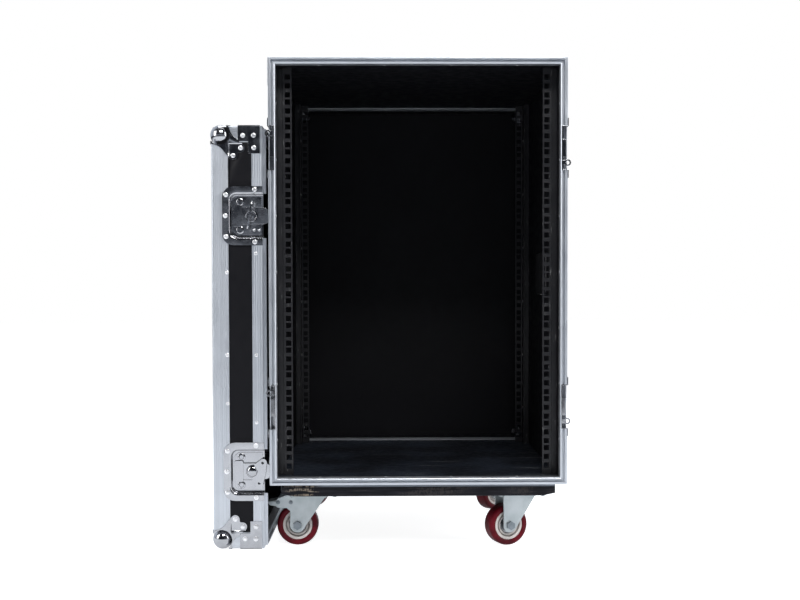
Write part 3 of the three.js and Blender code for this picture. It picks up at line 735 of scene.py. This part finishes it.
GRIP_RUBBER = grip_rubber()
for side, x_side in (("left", -1), ("right", 1)):
    node = f"{side}_handle_dish"
    low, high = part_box(node)
    face_x = (SLEEVE_LOW if x_side < 0 else SLEEVE_HIGH).x
    middle = Vector((face_x, (low.y + high.y) / 2, (low.z + high.z) / 2))
    place = frame_at(middle, AXES["y"] * x_side, AXES["z"])
    dish = fitted(settle(handle_dish(), place), f"{node}_drawn", NICKEL, "root", "bright_steel", node)
    # painted shade: the dish's back inside the bay gets the black powder coat, standing in for the dark
    # shaded bay
    dish.data.materials.append(POWDER_COAT)
    for face in dish.data.polygons:
        if face.normal.x * x_side < -0.02:
            face.material_index = 1
    spots = [(u, v) for u in (-82, 0, 82) for v in (-47.5, 47.5)] + [(-82, 0), (82, 0)]
    rivets(f"{node}_rivets", "root", "bright_steel", [seat(place, u, v, 1.5) for u, v in spots])
    bend = [(x, y, BAIL_DEPTH) for x, y in arc(BAIL_HALF - 8, GRIP_DROP + 8, 8, 0, -90, 5)]
    half = [(BAIL_HALF, PIVOT_RISE, BAIL_DEPTH)] + bend
    bail = tube(half + [(-x, y, z) for x, y, z in reversed(half)], 3.6)
    pivot = tube([(-BAIL_HALF - 3, PIVOT_RISE, BAIL_DEPTH), (BAIL_HALF + 3, PIVOT_RISE, BAIL_DEPTH)], 4)
    bail = settle(smoothed(joined([bail, pivot])), place)
    fitted(bail, f"{side}_handle_bail", NICKEL, f"{side}_handle", "bright_steel")
    profile = [(3.4, -48), (4.6, -48), (5.4, -46.5)]
    for i in range(11):
        z = -44 + i * 8
        profile += [(6, z), (6, z + 5.4), (5.3, z + 6.2), (5.3, z + 7.2)]
    profile += [(5.4, 46.5), (4.6, 48), (3.4, 48)]
    grip = smoothed(turned(profile, 20), 40)
    grip.data.transform(Matrix.Translation((0, GRIP_DROP, BAIL_DEPTH)) @ Matrix.Rotation(math.pi / 2, 4, "Y"))
    fitted(settle(grip, place), f"{side}_handle_grip", GRIP_RUBBER, f"{side}_handle", "grip_rubber",
           f"{side}_carry_handle")
    for u in (-BAIL_HALF - 3.6, BAIL_HALF + 3.6):
        lug = softened(blank(rounded(3, 13, 1.2, 2), HANDLE_FLOOR + 0.1, -1.8), 0.4, 1)
        settle(smoothed(lug), seat(place, u + math.copysign(1.2, u), PIVOT_RISE))
        fitted(lug, f"{side}_handle_lug_{'a' if u < 0 else 'b'}", NICKEL, "root", "bright_steel")


# The caster board: a thick plywood board under the sleeve, brushed with black paint,
# its edges rubbed back to brown wood where the case has been lifted and dropped, and a
# painted highlight along its top edge.
def painted_board():
    material, place, shader = new_finish("painted_board")
    brush = place.noise(260, 4.0, (0.08, 0.3, 1))
    plies = place.node("Mapping", {}, {"Vector": place, "Scale": (1.5, 1.5, 500)}).noise(1, 2.0)
    patch = place.noise(17, 5.0)
    grain = place.noise(600, 3.0, (1, 1, 0.4))
    across = place.node("SeparateXYZ", {}, {"Vector": place}, output=0)
    height = place.node("SeparateXYZ", {}, {"Vector": place}, output=2)
    left = SLEEVE_LOW.x
    rubbed = across.ranged(left + 0.02, left + 0.04) - across.ranged(left + 0.08, left + 0.13)
    # a painted highlight: a bluish light line along the board's top edge, from a little right of its left end
    painted_top_highlight = height.ranged(0.1155, 0.1165) * across.ranged(left + 0.07, left + 0.10)
    wear = (patch * 0.5 + brush * 0.5).ranged(0.50, 0.56) * grain.ranged(0.44, 0.52)
    wear = wear * (rubbed * 0.85 + 0.08)
    colour = brush.ranged(0.35, 0.65).tinted((0.004, 0.004, 0.006), (0.012, 0.012, 0.016))
    colour = painted_top_highlight.tinted(colour, (0.17, 0.19, 0.22))
    wood = plies.tinted((0.09, 0.07, 0.05), (0.32, 0.27, 0.22))
    place.feed(shader["Base Color"], wear.tinted(colour, wood))
    place.feed(shader["Roughness"], brush.ranged(0.3, 0.7, 0.34, 0.55))
    place.feed(shader["Normal"], place.raised(brush, 0.3, 0.0006))
    shader["Specular IOR Level"].default_value = 0.13
    return material


board = pressed("caster_board", 1.2, 2, 30)
fitted(board, "caster_board_plywood", painted_board(), "root", "painted_board", "caster_board")


# The casters: zinc plated pressings. A plate bolted up into the board carries a ball race,
# and a fork hangs from it on a kingpin. The wheel is a cream nylon centre with a moulded
# red polyurethane tread, turning on a bolt. The left pair have a brake pedal.
WHEEL_RADIUS, TREAD_ROOT = 37.5, 26.7
PLATE_UNDERSIDE, RACE_HEIGHT, KINGPIN_HEIGHT = 96.2, 92.6, 87.9
PLATE_BOLTS = [(x, y) for x in (-38, 38) for y in (-25, 25)]


def zinc(name, dull, bright):
    material, place, shader = new_finish(name)
    bloom = place.noise(28, 5.0)
    grain = place.noise(500, 3.0)
    place.feed(shader["Base Color"], bloom.ranged(0.3, 0.7).tinted(dull, bright))
    place.feed(shader["Roughness"], (bloom * 0.6 + grain * 0.4).ranged(0.35, 0.65, 0.34, 0.50))
    place.feed(shader["Normal"], place.raised(bloom * 0.8 + grain * 0.2, 0.12, 0.0015))
    shader["Metallic"].default_value = 0.7
    return material


def moulded(name, colour, deep, rough, specular):
    material, place, shader = new_finish(name)
    cloud = place.noise(45, 4.0)
    scuff = place.noise(320, 4.0)
    place.feed(shader["Base Color"], cloud.ranged(0.35, 0.65).tinted(colour, deep))
    place.feed(shader["Roughness"], scuff.ranged(0.4, 0.7, rough, rough + 0.2))
    place.feed(shader["Normal"], place.raised(scuff, 0.08, 0.0004))
    shader["Specular IOR Level"].default_value = specular
    return material


ZINC = zinc("zinc_plate", (0.38, 0.42, 0.435), (0.52, 0.56, 0.575))
BOLT_ZINC = zinc("bolt_zinc", (0.17, 0.20, 0.22), (0.27, 0.30, 0.33))
TREAD = moulded("red_polyurethane", (0.115, 0.003, 0.009), (0.050, 0.002, 0.005), 0.36, 0.14)
HUB = moulded("cream_nylon", (0.60, 0.56, 0.53), (0.46, 0.43, 0.41), 0.42, 0.12)
RACE_STEEL = polished("race_steel", (0.42, 0.43, 0.45), 0.25)

TREAD_SIDE = [(TREAD_ROOT, 12.6), (28, 13.8), (30, 14.3), (33.5, 14.2), (35.6, 13.2), (36.9, 11.2),
              (WHEEL_RADIUS, 8.4)]
HUB_SIDE = [(6.2, 9.5), (9, 9.5), (9.8, 8.2), (15.8, 8.2), (16.4, 11.0), (18.8, 11.6), (19.4, 11.0),
            (19.6, 5.6), (21.4, 5.6), (21.8, 12.0), (22.6, 12.9), (25.4, 13.1), (TREAD_ROOT, 12.6)]
RACE_SIDE = [(4.4, 11.2), (6.6, 11.2), (7.2, 10.0), (10.5, 10.0), (11, 10.6), (14.6, 10.6), (15.6, 9.6),
             (15.6, 8.2)]


def both_sides(profile):
    return profile + [(radius, -height) for radius, height in reversed(profile)]


def hexagon(width):
    return arc(0, 0, width / math.sqrt(3), 0, 300, 5)


def bolt(width, height, washer=None):
    """A hexagon head, on a washer if it has one, standing on the plane z = 0."""
    pieces = [smoothed(softened(blank(hexagon(width), 0, height), 0.5, 2), 30)]
    pieces.append(blank(arc(0, 0, width * 0.30, 0, 330, 11), height - 0.1, height + 1.0))
    if washer:
        pieces.append(smoothed(softened(blank(arc(0, 0, washer / 2, 0, 345, 23), 0, 1.1), 0.25, 1), 30))
    return joined(pieces)


PEDAL_PINS, PEDAL_PIN_HEIGHT, FORK_HALF = (65, 42), 79.5, 19.6
joints = {joint["name"]: joint for joint in frame["joints"]}
for name in ("front_left", "front_right", "rear_left", "rear_right"):
    swivel = Vector(joints[f"{name}_swivel_turn"]["pos_m"])
    axle = Vector(joints[f"{name}_wheel_spin"]["pos_m"])
    axis = Vector(joints[f"{name}_wheel_spin"]["axis"])
    trail = (Vector((axle.x, axle.y, 0)) - Vector((swivel.x, swivel.y, 0))).normalized()
    node = f"{name}_caster_plate"
    fitted(pressed(node, 0.5, 2, 30), f"{node}_pressing", ZINC, "root", "zinc", node)
    seats = [Vector((swivel.x + x * MM, swivel.y + y * MM, PLATE_UNDERSIDE * MM)) for x, y in PLATE_BOLTS]
    heads = [settle(bolt(9, 5.2, 14), frame_at(spot, AXES["x"], -AXES["y"])) for spot in seats]
    fitted(joined(heads), f"{name}_plate_bolts", ZINC, "root", "zinc")

    node = f"{name}_caster_fork"
    fitted(pressed(node, 1.1, 3), f"{node}_pressing", ZINC, f"{name}_swivel", "zinc", node)
    ends = []
    for side in (-1, 1):
        spot = axle + axis * side * FORK_HALF * MM
        ends.append(settle(bolt(14, 5.4), frame_at(spot, AXES["z"], AXES["z"].cross(axis * side) * -1)))
    fitted(joined(ends), f"{name}_axle_bolt", BOLT_ZINC, f"{name}_swivel", "zinc")
    race = turned([(12, -3), (23, -3), (24.6, -2.0), (25, -0.3), (24, 0.6), (12, 0.6)], 40)
    race.data.transform(Matrix.Translation((0, 0, 3.0)))
    settle(smoothed(race, 35), frame_at(Vector((swivel.x, swivel.y, RACE_HEIGHT * MM)), AXES["x"], AXES["y"]))
    fitted(race, f"{name}_ball_race", RACE_STEEL, "root", "zinc")
    spot = Vector((swivel.x, swivel.y, KINGPIN_HEIGHT * MM))
    nut = settle(bolt(13, 7, 18), frame_at(spot, AXES["x"], -AXES["y"]))
    fitted(nut, f"{name}_kingpin_nut", RACE_STEEL, f"{name}_swivel", "zinc")

    place = frame_at(axle, AXES["z"], AXES["z"].cross(axis) * -1)
    tread = settle(smoothed(turned(both_sides(TREAD_SIDE), 56), 35), place)
    fitted(tread, f"{name}_tread", TREAD, f"{name}_wheel", "wheel_urethane", f"{name}_wheel")
    hub = settle(smoothed(turned(both_sides(HUB_SIDE), 48), 35), place)
    fitted(hub, f"{name}_hub", HUB, f"{name}_wheel", "wheel_urethane")
    cage = settle(smoothed(turned(both_sides(RACE_SIDE), 40), 35), place)
    fitted(cage, f"{name}_bearing", RACE_STEEL, f"{name}_wheel", "zinc")
    if f"{name}_pedal_press" in joints:
        node = f"{name}_brake_pedal"
        fitted(pressed(node, 0.6), f"{node}_pressing", ZINC, f"{name}_pedal", "zinc", node)
        pivot = Vector((swivel.x, swivel.y, PEDAL_PIN_HEIGHT * MM))
        pins = []
        for along in PEDAL_PINS:
            for side in (-1, 1):
                spot = pivot + trail * along * MM + axis * side * FORK_HALF * MM
                face = frame_at(spot, AXES["z"], AXES["z"].cross(axis * side) * -1)
                pins.append(face @ Matrix.Scale(0.9, 4))
        heads = [settle(copied(RIVET), pin) for pin in pins]
        for head in heads:
            head.data.materials.clear()
        fitted(joined(heads), f"{name}_pedal_pins", BOLT_ZINC, f"{name}_swivel", "zinc")


# The lids: each a tray of laminated plywood. An aluminium angle runs round its face, a
# short angle down each corner, and a tongued rim round its mouth. Ball corners and braces
# of nickel plated steel are riveted over the joints.
LID_DEPTH, LID_RIM_FLANGE, BALL_RADIUS, BALL_INSET = 91, 19.5, 18, 15
MOUTH_RIVETS_IN, FACE_RIVETS_IN, FLANK_RIVETS_IN, LID_RIVET_SCALE = 12.5, 24, 27, 0.8
LID_BOARDS = {"front_lid": ("front_lid_panel", "front_lid_walls"), "rear_lid": ("rear_lid_shell",)}


def male_profile():
    """Across the rim from its outer face, and back from its tongue's root."""
    flange = [(h, d) for d, h in ridged(2, LID_RIM_FLANGE - 1, 4)]
    tongue = [(4.9, 0), (5.2, -5.4), (5.8, -6), (7.2, -6), (7.8, -5.4), (8.1, 0)]
    mouth_face = [(0, 0.5), (0.5, 0)] + tongue + [(12.6, 0), (RIM_WIDTH, 0.5)]
    back = [(RIM_WIDTH, 15), (RIM_WIDTH - TRIM, 15), (RIM_WIDTH - TRIM, TRIM), (TRIM, TRIM)]
    return [(0, LID_RIM_FLANGE)] + flange[::-1] + mouth_face + back + [(TRIM, LID_RIM_FLANGE)]


LOBE_X, LOBE_Y, LOBE_RADIUS, VALLEY = 52, 39, 8, 47.6
PLATE_RISE, BALL_GAP, CUP_WALL = 1.3, 0.3, 0.8


def ball_plate():
    """One leaf of a ball corner: hollow round the ball, and stepped off the angles onto the laminate."""
    half = [(26.9, 0.6)] + arc(62, -2, 30, 175, 122, 5) + arc(LOBE_X, LOBE_Y, LOBE_RADIUS, -55, 100, 8)
    hollow = arc(BALL_INSET, BALL_INSET, BALL_RADIUS + BALL_GAP + 0.2, 140.7, -50.7, 14)[1:-1]
    plate = blank(half + [(VALLEY, VALLEY)] + [(y, x) for x, y in reversed(half)] + hollow, 0.1, PLATE_RISE)
    bpy.ops.object.mode_set(mode="EDIT")
    for height in (30.4, 32.2):
        for place, along in (((height, 0, 0), (1, 0, 0)), ((0, height, 0), (0, 1, 0))):
            bpy.ops.mesh.select_all(action="SELECT")
            bpy.ops.mesh.bisect(plane_co=place, plane_no=along)
    bpy.ops.object.mode_set(mode="OBJECT")
    for vertex in plate.data.vertices:
        if min(vertex.co.x, vertex.co.y) > 31.3:
            vertex.co.z -= TRIM
    return smoothed(softened(plate, 0.3, 2, 50), 35)


def ball():
    """A pressed steel ball, its back eighth left off where it would stand in the lid."""
    bpy.ops.object.select_all(action="DESELECT")
    bpy.ops.mesh.primitive_uv_sphere_add(segments=48, ring_count=28, radius=BALL_RADIUS)
    sphere = bpy.context.object
    sphere.data.transform(Matrix.Translation((BALL_INSET, BALL_INSET, -BALL_INSET)))
    carved(sphere, block(Vector((BALL_INSET, BALL_INSET, -50)), Vector((50, 50, -BALL_INSET))))
    return smoothed(sphere, 30)


def ball_seat(wall):
    """What is cut out of a lid's corner for a ball, or for the cup round it with this wall."""
    centre = Matrix.Translation((BALL_INSET, BALL_INSET, -BALL_INSET))
    back = BALL_INSET + wall
    seat_tool = block(Vector((-5, -5, -back)), Vector((back, back, 5)))
    right_angle = math.pi / 2
    turns = (Matrix.Identity(4), Matrix.Rotation(-right_angle, 4, "Y"), Matrix.Rotation(right_angle, 4, "X"))
    for turn in turns:
        bpy.ops.object.select_all(action="DESELECT")
        bpy.ops.mesh.primitive_cylinder_add(vertices=48, radius=BALL_RADIUS + BALL_GAP + wall, depth=20)
        bore = bpy.context.object
        bore.data.transform(centre @ turn @ Matrix.Translation((0, 0, 10 - wall)))
        carved(seat_tool, bore, "UNION")
    return seat_tool


def ball_cup():
    """The pressing's neck round the ball, closed behind it."""
    cup = carved(ball_seat(CUP_WALL), ball_seat(0))
    for outside in ((0.1, 60, 9), (60, 0.1, 9)):
        carved(cup, block(Vector((-9, -9, -60)), Vector(outside)))
    carved(cup, block(Vector((-9, -9, -0.1)), Vector((60, 60, 9))))
    return smoothed(cup, 30)


def brace():
    outline = [(4.5, 0.6), (43.5, 0.6), (43.5, 27.5), (25, 27.5), (25, 49), (4.5, 49)]
    return smoothed(softened(blank(outline, 0.1, PLATE_RISE), 0.3, 2, 50), 35)


BALL, BALL_PLATE, BALL_CUP, CUP_SEAT, BRACE = ball(), ball_plate(), ball_cup(), ball_seat(CUP_WALL), brace()
BRACE_RIVETS = ((34.4, 17.3), (15.2, 17), (14.8, 39))
BALL_RIVETS = ((52.5, 39), (39, 52.5))
for template in (BALL, BALL_PLATE, BALL_CUP, CUP_SEAT, BRACE):
    bpy.context.scene.collection.objects.unlink(template)


def corner_frames(corner, first, second, third):
    """The three faces that meet in a corner, from its three inward edges."""
    return [frame_at(corner, first, second, -third), frame_at(corner, third, second, -first),
            frame_at(corner, third, first, -second)]


def add_lid(name, corner, across, up, into, width, height):
    """A lid's boards and metal: corner is its face's first corner, into points from the face to the rim."""
    rim_corner = corner + into * LID_DEPTH * MM
    angles = mitred_frame(angle_profile(), corner, across, up, into, width, height)
    bars, ball_rivets, brace_rivets, balls, braces, bores = [], [], [], [], [], []
    for a_side in (0, 1):
        for u_side in (0, 1):
            first, second = across * (1 - 2 * a_side), up * (1 - 2 * u_side)
            point = corner + across * width * a_side * MM + up * height * u_side * MM
            bar = blank(angle_profile(29), 0, LID_DEPTH - EDGE_LEG - LID_RIM_FLANGE - 0.6)
            start = point + into * (EDGE_LEG + 0.3) * MM
            smoothed(settle(bar, frame_at(start, first, second, into)), 25)
            bar.data.materials.append(aluminium_along(into))
            bars.append(bar)
            faces = corner_frames(point, first, second, into)
            balls.append(settle(copied(BALL), faces[0]))
            balls.append(settle(copied(BALL_CUP), faces[0]))
            bores.append(settle(copied(CUP_SEAT), faces[0]))
            balls += [settle(copied(BALL_PLATE), face) for face in faces]
            ball_rivets += [seat(face, x, y, PLATE_RISE - TRIM) for face in faces for x, y in BALL_RIVETS]
            rim_point = point + into * LID_DEPTH * MM
            for inwards, other in ((second, first), (first, second)):
                face = frame_at(rim_point, -into, inwards, -other)
                braces.append(settle(copied(BRACE), face))
                brace_rivets += [seat(face, x, y, PLATE_RISE) for x, y in BRACE_RIVETS]
    bore = joined(bores)
    for node in LID_BOARDS[name]:
        boards = smoothed(carved(merged(node), copied(bore)), 30)
        fitted(boards, f"{node}_plywood", PLAIN_LAMINATE, name, "black_laminate", node)
    angles = smoothed(carved(joined([angles] + bars), bore), 25)
    fitted(angles, f"{name}_angles", None, name, "aluminium", f"{name}_frame")
    rim = mitred_frame(male_profile(), rim_corner, across, up, -into, width, height)
    if name == "front_lid":
        for latch in LATCHES:
            low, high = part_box(f"{latch}_dish")
            middle = (low.z + high.z) / 2
            near = low.y < SLEEVE_MIDDLE.y
            outwards = -1 if near else 1
            edge = (corner if near else corner + across * width * MM).y
            ys = sorted((edge + 0.01 * outwards, edge - LID_NOTCH_DEPTH * MM * outwards))
            notch_low = Vector((rim_corner.x - 0.03, ys[0], middle - LID_NOTCH_HALF * MM))
            notch_high = Vector((rim_corner.x + 0.01, ys[1], middle + LID_NOTCH_HALF * MM))
            carved(rim, block(notch_low, notch_high))
    fitted(rim, f"{name}_rim_extrusion", None, name, "aluminium", f"{name}_rim")
    fitted(joined(balls), f"{name}_ball_corners", NICKEL, name, "bright_steel")
    fitted(joined(braces), f"{name}_corner_braces", NICKEL, name, "bright_steel")
    rivets(f"{name}_ball_corner_rivets", name, "bright_steel", ball_rivets)
    rivets(f"{name}_brace_rivets", name, "bright_steel", brace_rivets)
    seats = []
    for inwards, run, length in ((across, up, height), (up, across, width)):
        reach = width if inwards == across else height
        for side in (0, 1):
            base = corner + (inwards * reach * MM if side else Vector())
            out = inwards * (1 if side else -1)
            flank = frame_at(base, into, run, out)
            front = frame_at(base, -out, run, -into)
            for share in (0.16, 0.345, 0.46, 0.655, 0.84):
                seats.append(seat(flank, FLANK_RIVETS_IN, length * share))
                seats.append(seat(front, FACE_RIVETS_IN, length * share))
            for share in (0.30, 0.46, 0.70):
                seats.append(seat(flank, LID_DEPTH - MOUTH_RIVETS_IN, length * share))
    small = Matrix.Scale(LID_RIVET_SCALE, 4)
    rivets(f"{name}_angle_rivets", name, "aluminium", [place @ small for place in seats])


LID_NOTCH_HALF, LID_NOTCH_DEPTH = 39.4, 10.7
LATCHES = [f"{end}_{row}_latch" for end in ("near", "far") for row in ("upper", "lower")]
rim_low, rim_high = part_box("front_lid_rim")
face_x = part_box("front_lid_frame")[0].x + 3 * MM
add_lid("front_lid", Vector((face_x, rim_low.y, rim_low.z)), AXES["y"], AXES["z"], AXES["x"],
        (rim_high.y - rim_low.y) / MM, (rim_high.z - rim_low.z) / MM)
rim_low, rim_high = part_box("rear_lid_rim")
face_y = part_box("rear_lid_frame")[1].y - 3 * MM
add_lid("rear_lid", Vector((rim_low.x, face_y, rim_low.z)), AXES["x"], AXES["z"], -AXES["y"],
        (rim_high.x - rim_low.x) / MM, (rim_high.z - rim_low.z) / MM)


# The latches: recessed butterfly latches. A drawn dish is let into the lid's wall with its
# mouth on the rim; in it a knob turns a cam that draws the hook in, and a flat wing with
# two padlock holes folds up from the knob to turn it.
LATCH_WIDTH, LATCH_HEIGHT, LATCH_REACH, LATCH_OPENING, LATCH_FLOOR = 72, 105, 58, 76, -9.4
LATCH_DRAW = ((5, 1.5), (2.6, 1.2), (0.9, 0.3), (0, -1.4), (-0.5, -7.6), (-1.2, -8.8), (-3, LATCH_FLOOR))
ROTOR_AT, BOSS = -21, 8.6
DISH_RIVETS = ((-65, 37), (-66, 0), (-65, -37), (-14, 46.5), (-14, -46.5))


def mouth(reach, half, radius, steps=5):
    """An outline round a dish that is open towards the rim."""
    upper = arc(radius - reach, half - radius, radius, 90, 180, steps)
    return [(0, half)] + upper + [(x, -y) for x, y in reversed(upper)] + [(0, -half)]


def latch_dish():
    half = LATCH_OPENING / 2
    crest = mouth(LATCH_WIDTH - 0.3, LATCH_HEIGHT / 2 - 0.3, 19.8)
    rows = [level(mouth(LATCH_WIDTH, LATCH_HEIGHT / 2, 20), 0.3), level(crest, 1.5)]
    for grow, height in LATCH_DRAW:
        rows.append(level(mouth(LATCH_REACH + grow, half + grow, 11 + grow), height))
    rows.append(level([(0, 0)] * len(rows[0]), LATCH_FLOOR))
    return smoothed(thickened(facing(drawn(rows, closed=False)), 1.1), 40)


def latch_bed():
    """The plate in the dish: two raised bosses, a guide either side of the hook, and a keep over its tail."""
    pieces = []
    for side in (-1, 1):
        outline = [(-53, 16 * side), (-3, 16 * side), (-3, 34 * side), (-46, 34 * side), (-53, 28 * side)]
        guide = softened(blank(outline, LATCH_FLOOR - 0.2, -8.1), 0.4, 2)
        dome = [(7, -8.4), (6.6, -6.6), (5.6, -6.0), (4.4, -6.0), (3.6, -6.8)]
        boss = turned([(0, -8.4)] + dome + [(0, -6.8)], 24)
        boss.data.transform(Matrix.Translation((-41, 25 * side, 0)))
        pieces += [guide, boss]
    for u in (-16, -7):
        stud = turned([(0, -8.4), (2.6, -8.4), (2.4, -6.8), (1.4, -6.2), (0, -6.2)], 16)
        stud.data.transform(Matrix.Translation((u, -25, 0)))
        pieces.append(stud)
    keep = softened(blank(rounded(16, 38, 3, 3), -5.0, -3.9), 0.35, 2)
    keep.data.transform(Matrix.Translation((-45.5, 0, 0)))
    return smoothed(joined(pieces + [keep]), 35)


def latch_knob():
    rim = [(0, -4.7), (11.5, -4.7), (11.5, -3.2), (10.8, -2.4), (9.6, -2.2), (8.9, -2.6), (8.4, -3.2)]
    knob = turned(rim + [(5.2, -3.2), (4.6, -2.6), (0, -2.2)], 36)
    post = turned([(0, -9), (4, -9), (4, -4), (0, -4)], 20)
    whole = joined([knob, post])
    whole.data.transform(Matrix.Translation((ROTOR_AT, 0, 0)))
    return smoothed(whole, 35)


lid_low, lid_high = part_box("front_lid_rim")
for latch in LATCHES:
    near = latch.startswith("near")
    outwards = AXES["y"] * (-1 if near else 1)
    turn = Vector(joints[f"{latch}_turn"]["pos_m"])
    spot = Vector((turn.x - ROTOR_AT * MM, lid_low.y if near else lid_high.y, turn.z))
    place = frame_at(spot, AXES["x"], outwards.cross(AXES["x"]), outwards)
    node = f"{latch}_dish"
    fitted(settle(latch_dish(), place), f"{node}_drawn", NICKEL, "front_lid", "bright_steel", node)
    fitted(settle(latch_bed(), place), f"{latch}_bed", NICKEL, "front_lid", "bright_steel")
    seats = [seat(place, u, v, 1.5) for u, v in DISH_RIVETS]
    rivets(f"{node}_rivets", "front_lid", "bright_steel", seats)
    wing = pressed(f"{latch}_wing", 0.45)
    knob = latch_knob()
    if "lower" in latch:
        wing_low, wing_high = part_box(f"{latch}_wing")
        top = (lid_low.y - wing_low.y if near else wing_high.y - lid_high.y) / MM
        dome = [(0, top + 1.9), (4.5, top + 1.7), (7.4, top + 0.9), (BOSS, top - 0.2)]
        boss = turned(dome + [(BOSS, -3.0), (0, -3.0)], 32)
        boss.data.transform(Matrix.Translation((ROTOR_AT, 0, 0)))
        knob = joined([knob, smoothed(boss, 35)])
        gap = blank(arc(ROTOR_AT, 0, BOSS + 0.6, 0, 345, 23), -9, 9)
        wing = smoothed(carved(wing, settle(gap, place)), 35)
    fitted(settle(knob, place), f"{latch}_knob", NICKEL, f"{latch}_rotor", "bright_steel", f"{latch}_rotor")
    node = f"{latch}_hook"
    fitted(pressed(node, 0.5), f"{node}_strap", NICKEL, node, "bright_steel", node)
    node = f"{latch}_wing"
    fitted(wing, f"{node}_plate", NICKEL, node, "bright_steel", node)


# Braces over the sleeve's corners: the same pressed angles as on the lids, one on each
# flat beside a rim's mitre, riveted through the extrusions.
sleeve_braces, seats = [], []
for y_side, y in ((-1, SLEEVE_LOW.y), (1, SLEEVE_HIGH.y)):
    for x_side, x in ((-1, SLEEVE_LOW.x), (1, SLEEVE_HIGH.x)):
        for z_side, z in ((-1, SLEEVE_LOW.z), (1, SLEEVE_HIGH.z)):
            point = Vector((x, y, z))
            back, inwards, up = AXES["y"] * -y_side, AXES["x"] * -x_side, AXES["z"] * -z_side
            for first, out in ((up, -inwards), (inwards, -up)):
                face = frame_at(point + back * 6 * MM, back, first, out)
                sleeve_braces.append(settle(copied(BRACE), face))
                seats += [seat(face, u, v, PLATE_RISE) for u, v in BRACE_RIVETS]
fitted(joined(sleeve_braces), "sleeve_corner_braces", NICKEL, "root", "bright_steel")
rivets("sleeve_brace_rivets", "root", "bright_steel", seats)
